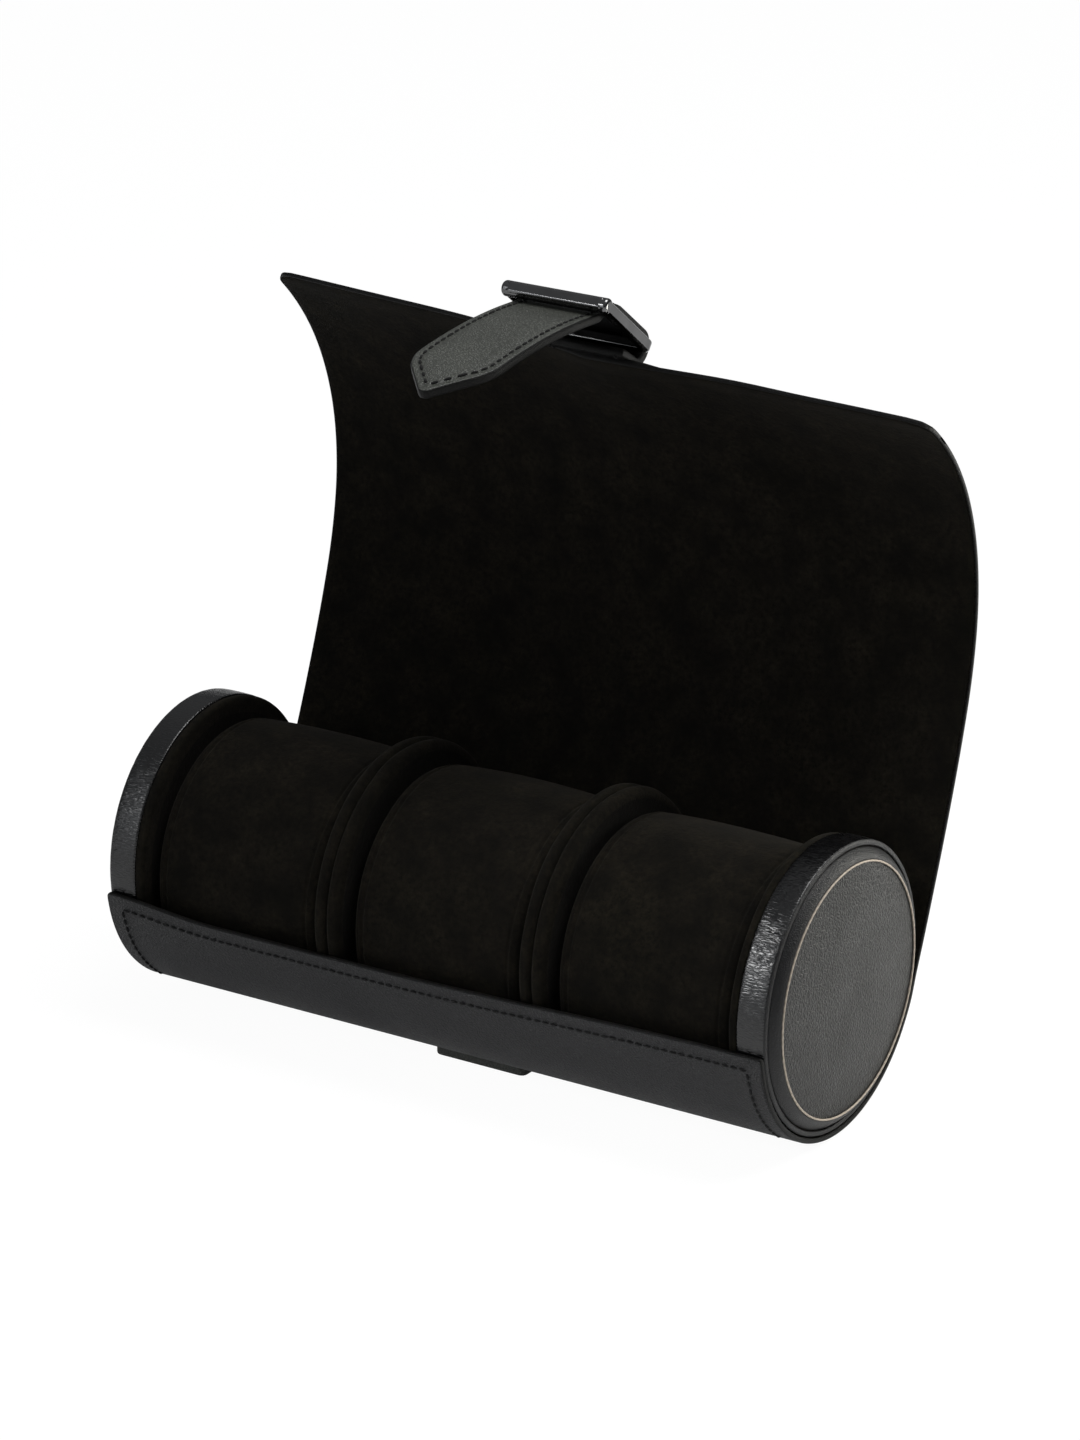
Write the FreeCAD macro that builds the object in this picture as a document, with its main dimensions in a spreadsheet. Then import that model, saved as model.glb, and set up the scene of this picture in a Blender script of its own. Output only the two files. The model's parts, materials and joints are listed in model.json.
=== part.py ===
import FreeCAD, Part
import math
import os
import re

import Sketcher
from FreeCAD import Placement, Rotation, Vector

# Watch roll for three watches, lying open. X runs along the roll, -Y is the front, +Z is up.
# The origin is on the table, under the middle of the roll's axis.

doc = FreeCAD.newDocument("watch_roll")
sheet = doc.addObject("Spreadsheet::Sheet", "Sizes")

COVER_IN = "(cap_radius + fit_gap)"
COVER_MID = "(cap_radius + fit_gap + lining_thick)"
COVER_OUT = "(cap_radius + fit_gap + lining_thick + bond_gap + leather_thick)"
BAYS = "3 * cuff_length + 2 * centre_room + 4 * side_room"
STACK = f"{BAYS} + 2 * (divider_thick + facing_thick + band_width)"
SIZES = [
    ("roll_length", f"={STACK}", "rim to rim, along the axis"),
    ("axis_height", f"={COVER_OUT} + landing_least", "roll axis above the table"),
    ("cap_radius", 45.9, "outside of the end caps and dividers"),
    ("fit_gap", 0.35, "room between the caps and the cover"),
    ("bond_gap", 0.05, "glue line between two layers"),
    ("lining_thick", 0.65, "suede lining of the fixed cover"),
    ("leather_thick", 1.05, "leather of the fixed cover"),
    ("lip_angle", 7, "front lip, below the front horizontal"),
    ("back_angle", 25, "fold line, below the back horizontal"),
    ("band_width", 10, "leather band round each cap"),
    ("band_thick", 1.85, "thickness of that band"),
    ("band_round", 0.6, "rounding of the band's edges"),
    ("facing_thick", 3, "padded suede facing inside each cap"),
    ("facing_inset", 0.3, "facing inside the cap's radius"),
    ("facing_round", 1.2, "rounding of the facing's edge"),
    ("core_recess", 1, "cap core behind the band's outer edge"),
    ("groove_width", 0.4, "groove between the end pad and the band"),
    ("pad_wall", 0.85, "upright edge of the end pad"),
    ("pad_slope", 2.75, "rise of the end pad's border"),
    ("pad_border", 3.4, "width of the end pad's border"),
    ("pad_crown", 1.3, "crown of the end pad inside the piping"),
    ("piping_width", 0.9, "cream piping ring, across"),
    ("piping_proud", 0.15, "piping above the pad"),
    ("piping_seat", 0.45, "depth of the piping's seat"),
    ("divider_offset", "=(cuff_length + divider_thick) / 2 + centre_room", "divider from mid-length"),
    ("divider_thick", 9.5, "finished divider"),
    ("divider_board", 3.5, "board inside the divider"),
    ("divider_wrap", 2.9, "padding over the board's edge"),
    ("divider_round", 3, "rounding of the divider's edge"),
    ("seam_gap", 0.1, "seam between the divider's two covers"),
    ("cuff_length", 62.5, "watch cuff, along the axis"),
    ("centre_room", 1.5, "room at each end of the middle cuff"),
    ("side_room", 1.125, "room at each end of a side cuff"),
    ("cuff_seam", 4.6, "seam ring from the cuff's end"),
    ("seam_width", 1.4, "width of that ring's groove"),
    ("seam_depth", 0.5, "depth of that groove"),
    ("cuff_radius", f"={COVER_IN} - cuff_room - cuff_drop - cuff_crown", "watch cuff beside its ends"),
    ("cuff_room", 0.55, "room under the cuff's middle"),
    ("cuff_crown", 1.2, "extra radius at the cuff's middle"),
    ("cuff_drop", 2.3, "cuff axis below the roll axis"),
    ("cuff_mouth", "=cuff_radius - cuff_draw", "radius where the cuff's end is sewn in"),
    ("cuff_draw", 3.7, "how far the cuff's edge is drawn in"),
    ("cuff_turn", 2.4, "length of the cuff's drawn-in edge"),
    ("cuff_cover", 1.2, "suede and wadding of the cuff"),
    ("flap_length", 204, "fold line to free edge"),
    ("flap_lining", 0.9, "suede lining of the flap"),
    ("flap_leather", 1.5, "leather of the flap"),
    ("flap_corner", 3, "corner radius at the free edge"),
    ("strip_gap", 0.5, "slot between two bending strips"),
    ("flap_1_angle", 3, "bend of each flap strip as it stands open"),
    ("flap_2_angle", 1, "second strip"),
    ("flap_3_angle", 2, "third strip"),
    ("flap_4_angle", 3, "fourth strip"),
    ("flap_5_angle", 9, "fifth strip"),
    ("flap_6_angle", 14, "sixth strip"),
    ("flap_7_angle", 16, "seventh strip"),
    ("flap_8_angle", 18, "eighth strip"),
    ("flap_9_angle", 16, "ninth strip, to the free edge"),
    ("strap_width", 30, "strap"),
    ("strap_thick", 3, "two leathers and a filler"),
    ("strap_setback", 4.7, "buckle's rear bar behind the flap's edge"),
    ("strap_lip", 3.5, "sewn end past the flap's edge"),
    ("fold_inside", 3.15, "strap's fold round the rear bar, inside radius"),
    ("fold_low_angle", 82, "sewn half of that fold"),
    ("fold_gap_angle", 7, "between the two halves of the fold"),
    ("bar_room", 2.3, "strap above the rear bar's axis"),
    ("arch_radius", 10, "inside of the strap's arch down to the front bar"),
    ("bar_clear", 0.55, "between the front bar and the strap under it"),
    ("strap_dive_angle", 35, "strap's slope where it leaves the buckle"),
    ("strap_lead", 5.5, "from under the front bar to the tongue"),
    ("tongue_length", 68.25, "front bar to the strap's point"),
    ("strap_point", 17, "length of the strap's point"),
    ("strap_nose", 3, "rounding of the point"),
    ("strap_shoulder", 9, "rounding where the point begins"),
    ("tongue_1_angle", 6, "bend of each strip of the tongue as it stands open"),
    ("tongue_2_angle", 5, "second strip"),
    ("tongue_3_angle", 9, "third strip, with the point"),
    ("buckle_length", 35.2, "buckle frame, along the strap"),
    ("buckle_clear", 0.2, "between the strap's edge and each side bar"),
    ("buckle_thick", 3.8, "buckle frame"),
    ("buckle_side", 3.8, "side bars"),
    ("buckle_front", 5, "round front bar"),
    ("buckle_rear", 3, "rear bar, the swivel"),
    ("buckle_tilt_angle", 5, "frame's tilt from the line of the flap's edge"),
    ("buckle_corner", 3.4, "corner radius of the frame"),
    ("buckle_round", 0.9, "rounding of the frame's edges"),
    ("front_round", 1.2, "rounding of the front bar's ends"),
    ("landing_width", 33.5, "landing pad under the roll, along the axis"),
    ("landing_depth", 33, "landing pad, front to back"),
    ("landing_least", 0.4, "landing pad under the cover's lowest line"),
    ("magnet_radius", 5.5, "closing magnet and its keeper plate"),
    ("magnet_thick", 1.6, "magnet in the strap"),
    ("keeper_thick", 1, "steel keeper in the landing pad"),
    ("keeper_back", 10, "keeper plate behind the axis"),
    ("pocket_gap", 0.1, "room round the magnet and the keeper"),
]
for row, (name, value, note) in enumerate(SIZES, 1):
    sheet.set(f"A{row}", name)
    sheet.set(f"C{row}", note)
    sheet.setAlias(f"B{row}", name)
for row, (name, value, note) in enumerate(SIZES, 1):
    sheet.set(f"B{row}", str(value))
doc.recompute()

FLAP_STRIPS = 9
TONGUE_STRIPS = 3
NAMES = {name for name, _, _ in SIZES}
gauge = doc.addObject("App::FeaturePython", "Gauge")
gauge.addProperty("App::PropertyFloat", "Reading")
nodes = []


def size(name):
    """A driving dimension, as a number."""
    return float(sheet.get(name))


def cell(text):
    """An expression in which each word that is a driving dimension reads its cell."""
    return re.sub(r"[a-z]\w*", lambda word: f"Sizes.{word[0]}" if word[0] in NAMES else word[0], text)


def worth(text):
    """The present value of such an expression."""
    gauge.setExpression("Reading", cell(text))
    gauge.recompute()
    return gauge.Reading


def named(item, label):
    """Give a finished piece its own name and put it on the list of sub-parts."""
    item.Label = label
    nodes.append(item)
    return item


def plane(body, role):
    """One of a body's own origin planes."""
    return next(f for f in body.Origin.OriginFeatures if f.Role == role)


def outline(sketch, corners, first=0):
    """Closed outline of straight edges; each corner is a pair of expressions from the sketch's origin."""
    points = [(worth(a), worth(b)) for a, b in corners]
    count = len(points)
    for i, (a, b) in enumerate(points):
        c, d = points[(i + 1) % count]
        sketch.addGeometry(Part.LineSegment(Vector(a, b, 0), Vector(c, d, 0)), False)
    for i in range(count):
        follow = first + (i + 1) % count
        sketch.addConstraint(Sketcher.Constraint("Coincident", first + i, 2, follow, 1))
    for i, (pair, words) in enumerate(zip(points, corners)):
        for value, text, kind, axis in zip(pair, words, ("DistanceX", "DistanceY"), (-2, -1)):
            if abs(value) < 1e-9:
                sketch.addConstraint(Sketcher.Constraint("PointOnObject", first + i, 1, axis))
                continue
            mark = sketch.addConstraint(Sketcher.Constraint(kind, -1, 1, first + i, 1, value))
            sketch.setExpression(f"Constraints[{mark}]", cell(text))
    return first + count


def turned(label, corners, place, rounds=()):
    """A piece turned about its own X axis; rounds lists (x, radius, rounding) of edges that are eased."""
    body = doc.addObject("PartDesign::Body", label)
    sketch = body.newObject("Sketcher::SketchObject", label + "_profile")
    sketch.AttachmentSupport = (plane(body, "XY_Plane"), [""])
    sketch.MapMode = "FlatFace"
    outline(sketch, corners)
    turn = body.newObject("PartDesign::Revolution", label + "_turn")
    turn.Profile = sketch
    turn.ReferenceAxis = (sketch, ["H_Axis"])
    turn.Angle = 360
    doc.recompute()
    for number, (along, radius, rounding) in enumerate(rounds):
        bare = body.Tip
        edges = ring_edges(bare.Shape, worth(along), worth(radius))
        ease = body.newObject("PartDesign::Fillet", f"{label}_round_{number}")
        ease.Base = (bare, edges)
        ease.setExpression("Radius", cell(rounding))
        body.Tip = ease
        doc.recompute()
    body.Placement = place
    return named(body, label)


def ring_edges(shape, along, radius):
    """The round edges of a turned piece at one place along its axis and one radius."""
    found = []
    for i, edge in enumerate(shape.Edges, 1):
        curve = edge.Curve
        if not isinstance(curve, Part.Circle):
            continue
        if abs(curve.Center.x - along) < 1e-4 and abs(curve.Radius - radius) < 1e-4:
            found.append(f"Edge{i}")
    return found


def sector(label, inner, outer, width, angle, place):
    """A bent sheet: the part of a tube between two radii, over an angle, centred on its own middle."""
    whole = doc.addObject("Part::Cylinder", label + "_outer")
    whole.setExpression("Radius", cell(outer))
    whole.setExpression("Height", cell(width))
    whole.setExpression("Angle", cell(angle))
    whole.setExpression("Placement.Base.z", cell(f"-({width}) / 2"))
    hollow = doc.addObject("Part::Cylinder", label + "_inner")
    hollow.setExpression("Radius", cell(inner))
    hollow.setExpression("Height", cell(width))
    hollow.setExpression("Placement.Base.z", cell(f"-({width}) / 2"))
    sheet_piece = doc.addObject("Part::Cut", label)
    sheet_piece.Base = whole
    sheet_piece.Tool = hollow
    sheet_piece.Placement = place
    return sheet_piece


def rounded(label, base, wanted, radius):
    """A piece with those of its edges rounded that meet a test."""
    doc.recompute()
    piece = doc.addObject("Part::Fillet", label)
    piece.Base = base
    piece.Edges = [(i, radius, radius) for i, e in enumerate(base.Shape.Edges, 1) if wanted(e)]
    return piece


def cut(label, base, tool):
    """One piece with another's shape taken out of it."""
    piece = doc.addObject("Part::Cut", label)
    piece.Base = base
    piece.Tool = tool
    return piece


# Across the roll, angles run from the back (+Y) over the top to the front.
HALF_TURN = 180
RIGHT_ANGLE = HALF_TURN / 2
ACROSS = Rotation(Vector(1, 1, 1), 120)
AXIS = Vector(0, 0, size("axis_height"))


def across(angle, centre=AXIS):
    """Placement of a piece drawn in the plane across the roll, turned by an angle."""
    return Placement(centre, Rotation(Vector(1, 0, 0), angle) * ACROSS)


# Fixed cover: a leather trough with a suede lining, from the front lip under the roll to the fold line.
cover_start = across(HALF_TURN + size("lip_angle"))
cover_angle = f"180 - lip_angle - back_angle - strip_gap / {COVER_IN} * 90 / pi"
lining = sector("cover_base_lining", COVER_IN, COVER_MID, "roll_length", cover_angle, cover_start)
named(lining, "cover_base_lining")
trough = sector(
    "cover_trough", f"{COVER_MID} + bond_gap", COVER_OUT, "roll_length", cover_angle, cover_start
)
pocket = doc.addObject("Part::Cylinder", "keeper_pocket")
pocket.setExpression("Radius", cell("magnet_radius + pocket_gap"))
pocket.setExpression("Height", cell("keeper_thick + 2 * pocket_gap"))
pocket.setExpression("Placement.Base.y", cell("keeper_back"))
named(cut("cover_base_leather", trough, pocket), "cover_base_leather")

# Landing pad under the roll, where the closing strap lies, with the steel plate that its magnet holds to.
block = doc.addObject("Part::Box", "landing_block")
block.setExpression("Length", cell("landing_width"))
block.setExpression("Width", cell("landing_depth"))
block.setExpression("Height", cell("axis_height / 2"))
block.setExpression("Placement.Base.x", cell("-landing_width / 2"))
block.setExpression("Placement.Base.y", cell("-landing_depth / 2"))
round_seat = doc.addObject("Part::Cylinder", "landing_seat")
round_seat.setExpression("Radius", cell(f"{COVER_OUT} + bond_gap"))
round_seat.setExpression("Height", cell("roll_length"))
seat_start = AXIS - Vector(size("roll_length") / 2, 0, 0)
round_seat.Placement = Placement(seat_start, Rotation(Vector(0, 1, 0), 90))
landing = cut("landing_body", block, round_seat)
named(cut("landing_pad", landing, pocket), "landing_pad")
keeper = doc.addObject("Part::Cylinder", "keeper_plate")
keeper.setExpression("Radius", cell("magnet_radius"))
keeper.setExpression("Height", cell("keeper_thick"))
keeper.setExpression("Placement.Base.y", cell("keeper_back"))
keeper.setExpression("Placement.Base.z", cell("pocket_gap"))
named(keeper, "keeper_plate")

# End caps: a core, a leather band round it, a domed leather pad with cream piping, and a suede facing.
BAND_START = "(facing_thick + bond_gap)"
BAND_END = "(facing_thick + band_width)"
BAND_IN = "(cap_radius - band_thick)"
CORE_END = "(facing_thick + band_width - core_recess)"
PAD_START = "(facing_thick + band_width - core_recess + bond_gap)"
PAD_EDGE = "(cap_radius - band_thick - groove_width)"
PAD_RIM = "(cap_radius - band_thick - groove_width - pad_border)"
PAD_TOP = "(facing_thick + band_width - core_recess + pad_wall + pad_slope)"
PIPE_OUT = PAD_RIM
PIPE_IN = "(cap_radius - band_thick - groove_width - pad_border - piping_width)"
DOME_STEPS = 6
for side, sign in (("left", -1), ("right", 1)):
    inner_face = size("roll_length") / 2 - size("band_width") - size("facing_thick")
    facing_out = Rotation(Vector(0, 0, 1), HALF_TURN if sign < 0 else 0)
    place = Placement(AXIS + Vector(sign * inner_face, 0, 0), facing_out)
    turned(
        f"cap_{side}_facing",
        [
            ("0", "0"),
            ("facing_thick", "0"),
            ("facing_thick", "cap_radius - facing_inset"),
            ("0", "cap_radius - facing_inset"),
        ],
        place,
        [("0", "cap_radius - facing_inset", "facing_round")],
    )
    turned(
        f"cap_{side}_core",
        [
            (BAND_START, "0"),
            (CORE_END, "0"),
            (CORE_END, f"{BAND_IN} - bond_gap"),
            (BAND_START, f"{BAND_IN} - bond_gap"),
        ],
        place,
    )
    turned(
        f"cap_{side}_band",
        [
            (BAND_START, BAND_IN),
            (BAND_END, BAND_IN),
            (BAND_END, "cap_radius"),
            (BAND_START, "cap_radius"),
        ],
        place,
        [(BAND_END, "cap_radius", "band_round"), (BAND_START, "cap_radius", "band_round")],
    )
    dome = [
        (f"{PAD_TOP} + pad_crown * (1 - ({DOME_STEPS} - {i}) ^ 2 / {DOME_STEPS} ^ 2)",
         f"({PIPE_IN} - bond_gap) * ({DOME_STEPS} - {i}) / {DOME_STEPS}")
        for i in range(DOME_STEPS + 1)
    ]
    turned(
        f"cap_{side}_pad",
        [
            (PAD_START, "0"),
            (PAD_START, PAD_EDGE),
            (f"{PAD_START} + pad_wall - bond_gap", PAD_EDGE),
            (PAD_TOP, f"{PIPE_OUT} + bond_gap"),
            (f"{PAD_TOP} - piping_seat", f"{PIPE_OUT} + bond_gap"),
            (f"{PAD_TOP} - piping_seat", f"{PIPE_IN} - bond_gap"),
        ]
        + dome,
        place,
    )
    turned(
        f"cap_{side}_piping",
        [
            (f"{PAD_TOP} - piping_seat + bond_gap", PIPE_IN),
            (f"{PAD_TOP} + piping_proud", PIPE_IN),
            (f"{PAD_TOP} + piping_proud", PIPE_OUT),
            (f"{PAD_TOP} - piping_seat + bond_gap", PIPE_OUT),
        ],
        place,
    )

# Dividers: a board between two padded suede covers that meet in a seam round the edge.
HALF = "(divider_thick / 2 - seam_gap / 2)"
BOARD_AT = "(divider_thick / 2 - divider_board / 2)"
BOARD_R = "(cap_radius - divider_wrap)"
for side, sign in (("left", -1), ("right", 1)):
    middle = AXIS + Vector(sign * size("divider_offset"), 0, 0)
    half_thick = Vector(size("divider_thick") / 2, 0, 0)
    turned(
        f"divider_{side}_board",
        [
            ("bond_gap", "0"),
            ("divider_board - bond_gap", "0"),
            ("divider_board - bond_gap", f"{BOARD_R} - bond_gap"),
            ("bond_gap", f"{BOARD_R} - bond_gap"),
        ],
        Placement(middle - Vector(size("divider_board") / 2, 0, 0), Rotation()),
    )
    for face, turn, start in (("a", 0, middle - half_thick), ("b", HALF_TURN, middle + half_thick)):
        turned(
            f"divider_{side}_cover_{face}",
            [
                ("0", "0"),
                (BOARD_AT, "0"),
                (BOARD_AT, BOARD_R),
                (HALF, BOARD_R),
                (HALF, "cap_radius"),
                ("0", "cap_radius"),
            ],
            Placement(start, Rotation(Vector(0, 0, 1), turn)),
            [("0", "cap_radius", "divider_round")],
        )

# Watch cuffs: a foam core, a crowned suede sleeve drawn in at both ends, and the two sewn-in ends.
CROWN_STEPS = 8
FOAM_R = "(cuff_radius - cuff_cover)"
FOAM_IN = "(cuff_turn + cuff_cover * 2 / 3)"
SEAM_START = "(cuff_seam - seam_width / 2)"
SEAM_END = "(cuff_seam + seam_width / 2)"
SEAM_LOW = "cuff_radius - seam_depth"
CROWN = [
    (f"{SEAM_END} + (cuff_length - 2 * {SEAM_END}) * {i} / {CROWN_STEPS}",
     f"cuff_radius + cuff_crown * 4 * {i} * ({CROWN_STEPS} - {i}) / {CROWN_STEPS} ^ 2")
    for i in range(CROWN_STEPS + 1)
]
bay_outer = size("roll_length") / 2 - size("band_width") - size("facing_thick")
bay_inner = size("divider_offset") + size("divider_thick") / 2
side_bay = (bay_outer + bay_inner) / 2
for side, along in (("left", -side_bay), ("centre", 0), ("right", side_bay)):
    place = Placement(
        AXIS + Vector(along - size("cuff_length") / 2, 0, -size("cuff_drop")), Rotation()
    )
    turned(
        f"cuff_{side}_sleeve",
        [("0", "cuff_mouth"), ("cuff_turn", "cuff_radius")]
        + [(SEAM_START, "cuff_radius"), ("cuff_seam", SEAM_LOW)]
        + CROWN
        + [("cuff_length - cuff_seam", SEAM_LOW), (f"cuff_length - {SEAM_START}", "cuff_radius")]
        + [
            ("cuff_length - cuff_turn", "cuff_radius"),
            ("cuff_length", "cuff_mouth"),
            ("cuff_length - cuff_cover", "cuff_mouth"),
            (f"cuff_length - {FOAM_IN}", FOAM_R),
            (FOAM_IN, FOAM_R),
            ("cuff_cover", "cuff_mouth"),
        ],
        place,
    )
    turned(
        f"cuff_{side}_foam",
        [
            ("cuff_cover + bond_gap", "0"),
            ("cuff_length - cuff_cover - bond_gap", "0"),
            ("cuff_length - cuff_cover - bond_gap", "cuff_mouth - bond_gap"),
            (f"cuff_length - {FOAM_IN} - bond_gap", f"{FOAM_R} - bond_gap"),
            (f"{FOAM_IN} + bond_gap", f"{FOAM_R} - bond_gap"),
            ("cuff_cover + bond_gap", "cuff_mouth - bond_gap"),
        ],
        place,
    )
    for end, start in (("a", "bond_gap"), ("b", "(cuff_length - cuff_cover)")):
        turned(
            f"cuff_{side}_end_{end}",
            [
                (start, "0"),
                (f"{start} + cuff_cover - bond_gap", "0"),
                (f"{start} + cuff_cover - bond_gap", "cuff_mouth - bond_gap"),
                (start, "cuff_mouth - bond_gap"),
            ],
            place,
        )


# Flap and strap: strips that bend at hinge lines on their inner face, laid end to end as they stand open.
def chain(start, heading, length, turns):
    """Hinge points and headings, in the plane across the roll, of strips of one length with given bends."""
    stops = [(start, heading)]
    for turn in turns:
        bend = math.radians(turn)
        chord = 2 * length / bend * math.sin(bend / 2)
        course = math.radians(heading + turn / 2)
        start = start + Vector(0, chord * math.cos(course), chord * math.sin(course))
        heading = heading + turn
        stops.append((start, heading))
    return stops


def strip(label, turn, length, low, high, width, stop, first="strip_gap / 2", last="strip_gap / 2"):
    """A bent strip between two heights above the inner face of its chain, from its own hinge line."""
    start, heading = stop
    radius = f"({length}) * 180 / (pi * {turn})"
    angle = f"{turn} * (1 - ({first} + {last}) / ({length}))"
    hub = worth(radius)
    lead = worth(f"{turn} * ({first}) / ({length})")
    place = across(heading, start) * Placement(Vector(0, hub, 0), Rotation(Vector(0, 0, 1), lead - 90))
    return sector(label, f"{radius} + {low}", f"{radius} + {high}", width, angle, place)


FLAP_STRIP = f"flap_length / {FLAP_STRIPS}"
FLAP_THICK = "(flap_lining + bond_gap + flap_leather)"
fold = math.radians(-size("back_angle"))
fold_line = AXIS + Vector(0, math.cos(fold), math.sin(fold)) * worth(COVER_IN)
flap = chain(
    fold_line,
    RIGHT_ANGLE - size("back_angle"),
    worth(FLAP_STRIP),
    [size(f"flap_{i + 1}_angle") for i in range(FLAP_STRIPS)],
)
flap_layers = (
    ("flap_lining", "0", "flap_lining"),
    ("flap_leather", "(flap_lining + bond_gap)", FLAP_THICK),
)
for i in range(FLAP_STRIPS - 1):
    for layer, low, high in flap_layers:
        label = f"{layer}_{i + 1}"
        named(strip(label, f"flap_{i + 1}_angle", FLAP_STRIP, low, high, "roll_length", flap[i]), label)


def at_free_corner(edge):
    """True for the short edges at the flap's two free corners."""
    middle = edge.CenterOfMass
    near = Vector(0, middle.y, middle.z).distanceToPoint(flap[FLAP_STRIPS][0])
    return near < size("flap_corner") and abs(abs(middle.x) - size("roll_length") / 2) < size("bond_gap")


for layer, low, high in flap_layers:
    label = f"{layer}_{FLAP_STRIPS}"
    turn = f"flap_{FLAP_STRIPS}_angle"
    square = strip(f"{label}_square", turn, FLAP_STRIP, low, high, "roll_length", flap[FLAP_STRIPS - 1])
    named(rounded(label, square, at_free_corner, size("flap_corner")), label)

# Strap: sewn on the flap's edge, folded round the buckle's rear bar, then under its front bar to the tongue.
STRAP_LOW = f"({FLAP_THICK} + bond_gap)"
FOLD_OUT = "fold_inside + strap_thick"


def towards(heading):
    """Direction of a heading in the plane across the roll."""
    return Vector(0, math.cos(math.radians(heading)), math.sin(math.radians(heading)))


def joined(label, pieces):
    """Pieces that touch, as one solid."""
    whole = doc.addObject("Part::MultiFuse", label)
    whole.Shapes = pieces
    return whole


edge_heading = flap[FLAP_STRIPS][1]
last_turn = size(f"flap_{FLAP_STRIPS}_angle")
seat_share = 1 - worth(f"strap_setback / ({FLAP_STRIP})")
seat_reach = worth(FLAP_STRIP) * seat_share
seat, seat_heading = chain(*flap[FLAP_STRIPS - 1], seat_reach, [last_turn * seat_share])[1]
frame_heading = edge_heading - size("buckle_tilt_angle")
rise = towards(frame_heading - RIGHT_ANGLE)
fold_hub = seat + towards(seat_heading - RIGHT_ANGLE) * worth(f"{STRAP_LOW} + {FOLD_OUT}")
pivot = fold_hub + rise * worth("fold_inside - bar_room")
sewn = strip(
    "strap_sewn",
    f"flap_{FLAP_STRIPS}_angle",
    FLAP_STRIP,
    STRAP_LOW,
    f"{STRAP_LOW} + strap_thick",
    "strap_width",
    flap[FLAP_STRIPS - 1],
    first=f"({FLAP_STRIP} - strap_setback)",
    last="(-strap_lip)",
)
fold_start = seat_heading + RIGHT_ANGLE
low_fold = sector(
    "strap_fold_low", "fold_inside", FOLD_OUT, "strap_width", "fold_low_angle", across(fold_start, fold_hub)
)
named(joined("strap_anchor", [sewn, low_fold]), "strap_anchor")

# Through the buckle the strap keeps its shape: over the rear bar, along, down and under the front bar.
upper_start = fold_start + size("fold_low_angle") + size("fold_gap_angle")
upper_angle = frame_heading - RIGHT_ANGLE + 2 * HALF_TURN - upper_start
upper_place = across(upper_start, fold_hub)
high_fold = sector("strap_fold_high", "fold_inside", FOLD_OUT, "strap_width", f"{upper_angle}", upper_place)


def straight(label, start, heading, reach):
    """Flat stretch of the strap from a point on its inner face."""
    piece = doc.addObject("Part::Box", label)
    piece.Length = reach
    piece.setExpression("Width", cell("strap_thick"))
    piece.setExpression("Height", cell("strap_width"))
    corner = Vector(0, -size("strap_thick"), -size("strap_width") / 2)
    piece.Placement = across(heading, start) * Placement(corner, Rotation())
    return piece


bar_reach = worth("buckle_length - buckle_rear / 2 - buckle_front / 2")
front_bar = pivot + towards(frame_heading) * bar_reach
top = worth("bar_room + strap_thick")
arch_out = worth("arch_radius + strap_thick")
under = worth("buckle_front / 2 + bar_clear")
arch_reach = math.sqrt((top + under) * (2 * arch_out + under - top))
arch_angle = math.degrees(math.asin(arch_reach / (arch_out + under)))
flat_start = fold_hub + rise * size("fold_inside")
flat = straight("strap_flat", flat_start, frame_heading, bar_reach - arch_reach)
arch_hub = pivot + towards(frame_heading) * (bar_reach - arch_reach) + rise * (top - arch_out)
arch = sector(
    "strap_arch",
    "arch_radius",
    "arch_radius + strap_thick",
    "strap_width",
    f"{arch_angle}",
    across(frame_heading - RIGHT_ANGLE, arch_hub),
)
tongue_heading = frame_heading + size("strap_dive_angle")
dip = sector(
    "strap_dip",
    "buckle_front / 2 + bar_clear",
    "buckle_front / 2 + bar_clear + strap_thick",
    "strap_width",
    f"{arch_angle} - strap_dive_angle",
    across(tongue_heading + RIGHT_ANGLE, front_bar),
)
lead_start = front_bar + towards(tongue_heading + RIGHT_ANGLE) * (under + size("strap_thick"))
lead = straight("strap_leading", lead_start, tongue_heading, worth("strap_lead - strip_gap / 2"))
named(joined("strap_1", [high_fold, flat, arch, dip, lead]), "strap_1")

# Tongue: three strips that bend at hinge lines on their inner face.
TONGUE_STRIP = f"tongue_length / {TONGUE_STRIPS}"
tongue = chain(
    lead_start + towards(tongue_heading) * size("strap_lead"),
    tongue_heading,
    worth(TONGUE_STRIP),
    [size(f"tongue_{i + 1}_angle") for i in range(TONGUE_STRIPS)],
)
tongues = [
    strip(
        f"tongue_band_{i + 1}",
        f"tongue_{i + 1}_angle",
        TONGUE_STRIP,
        "0",
        "strap_thick",
        "strap_width",
        tongue[i],
    )
    for i in range(TONGUE_STRIPS)
]
named(tongues[0], "strap_2")

# The second strip carries the closing magnet, set into its inner face at mid-length.
hub = worth(f"{TONGUE_STRIP} * 180 / (pi * tongue_2_angle)")
magnet_seat = (
    across(tongue[1][1], tongue[1][0])
    * Placement(Vector(0, hub, 0), Rotation(Vector(0, 0, 1), size("tongue_2_angle") / 2))
    * Placement(Vector(0, -hub, 0), Rotation(Vector(1, 0, 0), 90))
)
magnet_hole = doc.addObject("Part::Cylinder", "magnet_hole")
magnet_hole.setExpression("Radius", cell("magnet_radius + pocket_gap"))
magnet_hole.setExpression("Height", cell("magnet_thick + 4 * pocket_gap"))
magnet_hole.Placement = magnet_seat * Placement(Vector(0, 0, -2 * size("pocket_gap")), Rotation())
named(cut("strap_3", tongues[1], magnet_hole), "strap_3")
magnet = doc.addObject("Part::Cylinder", "strap_magnet")
magnet.setExpression("Radius", cell("magnet_radius"))
magnet.setExpression("Height", cell("magnet_thick"))
magnet.Placement = magnet_seat * Placement(Vector(0, 0, size("pocket_gap")), Rotation())
named(magnet, "strap_magnet")

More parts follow.
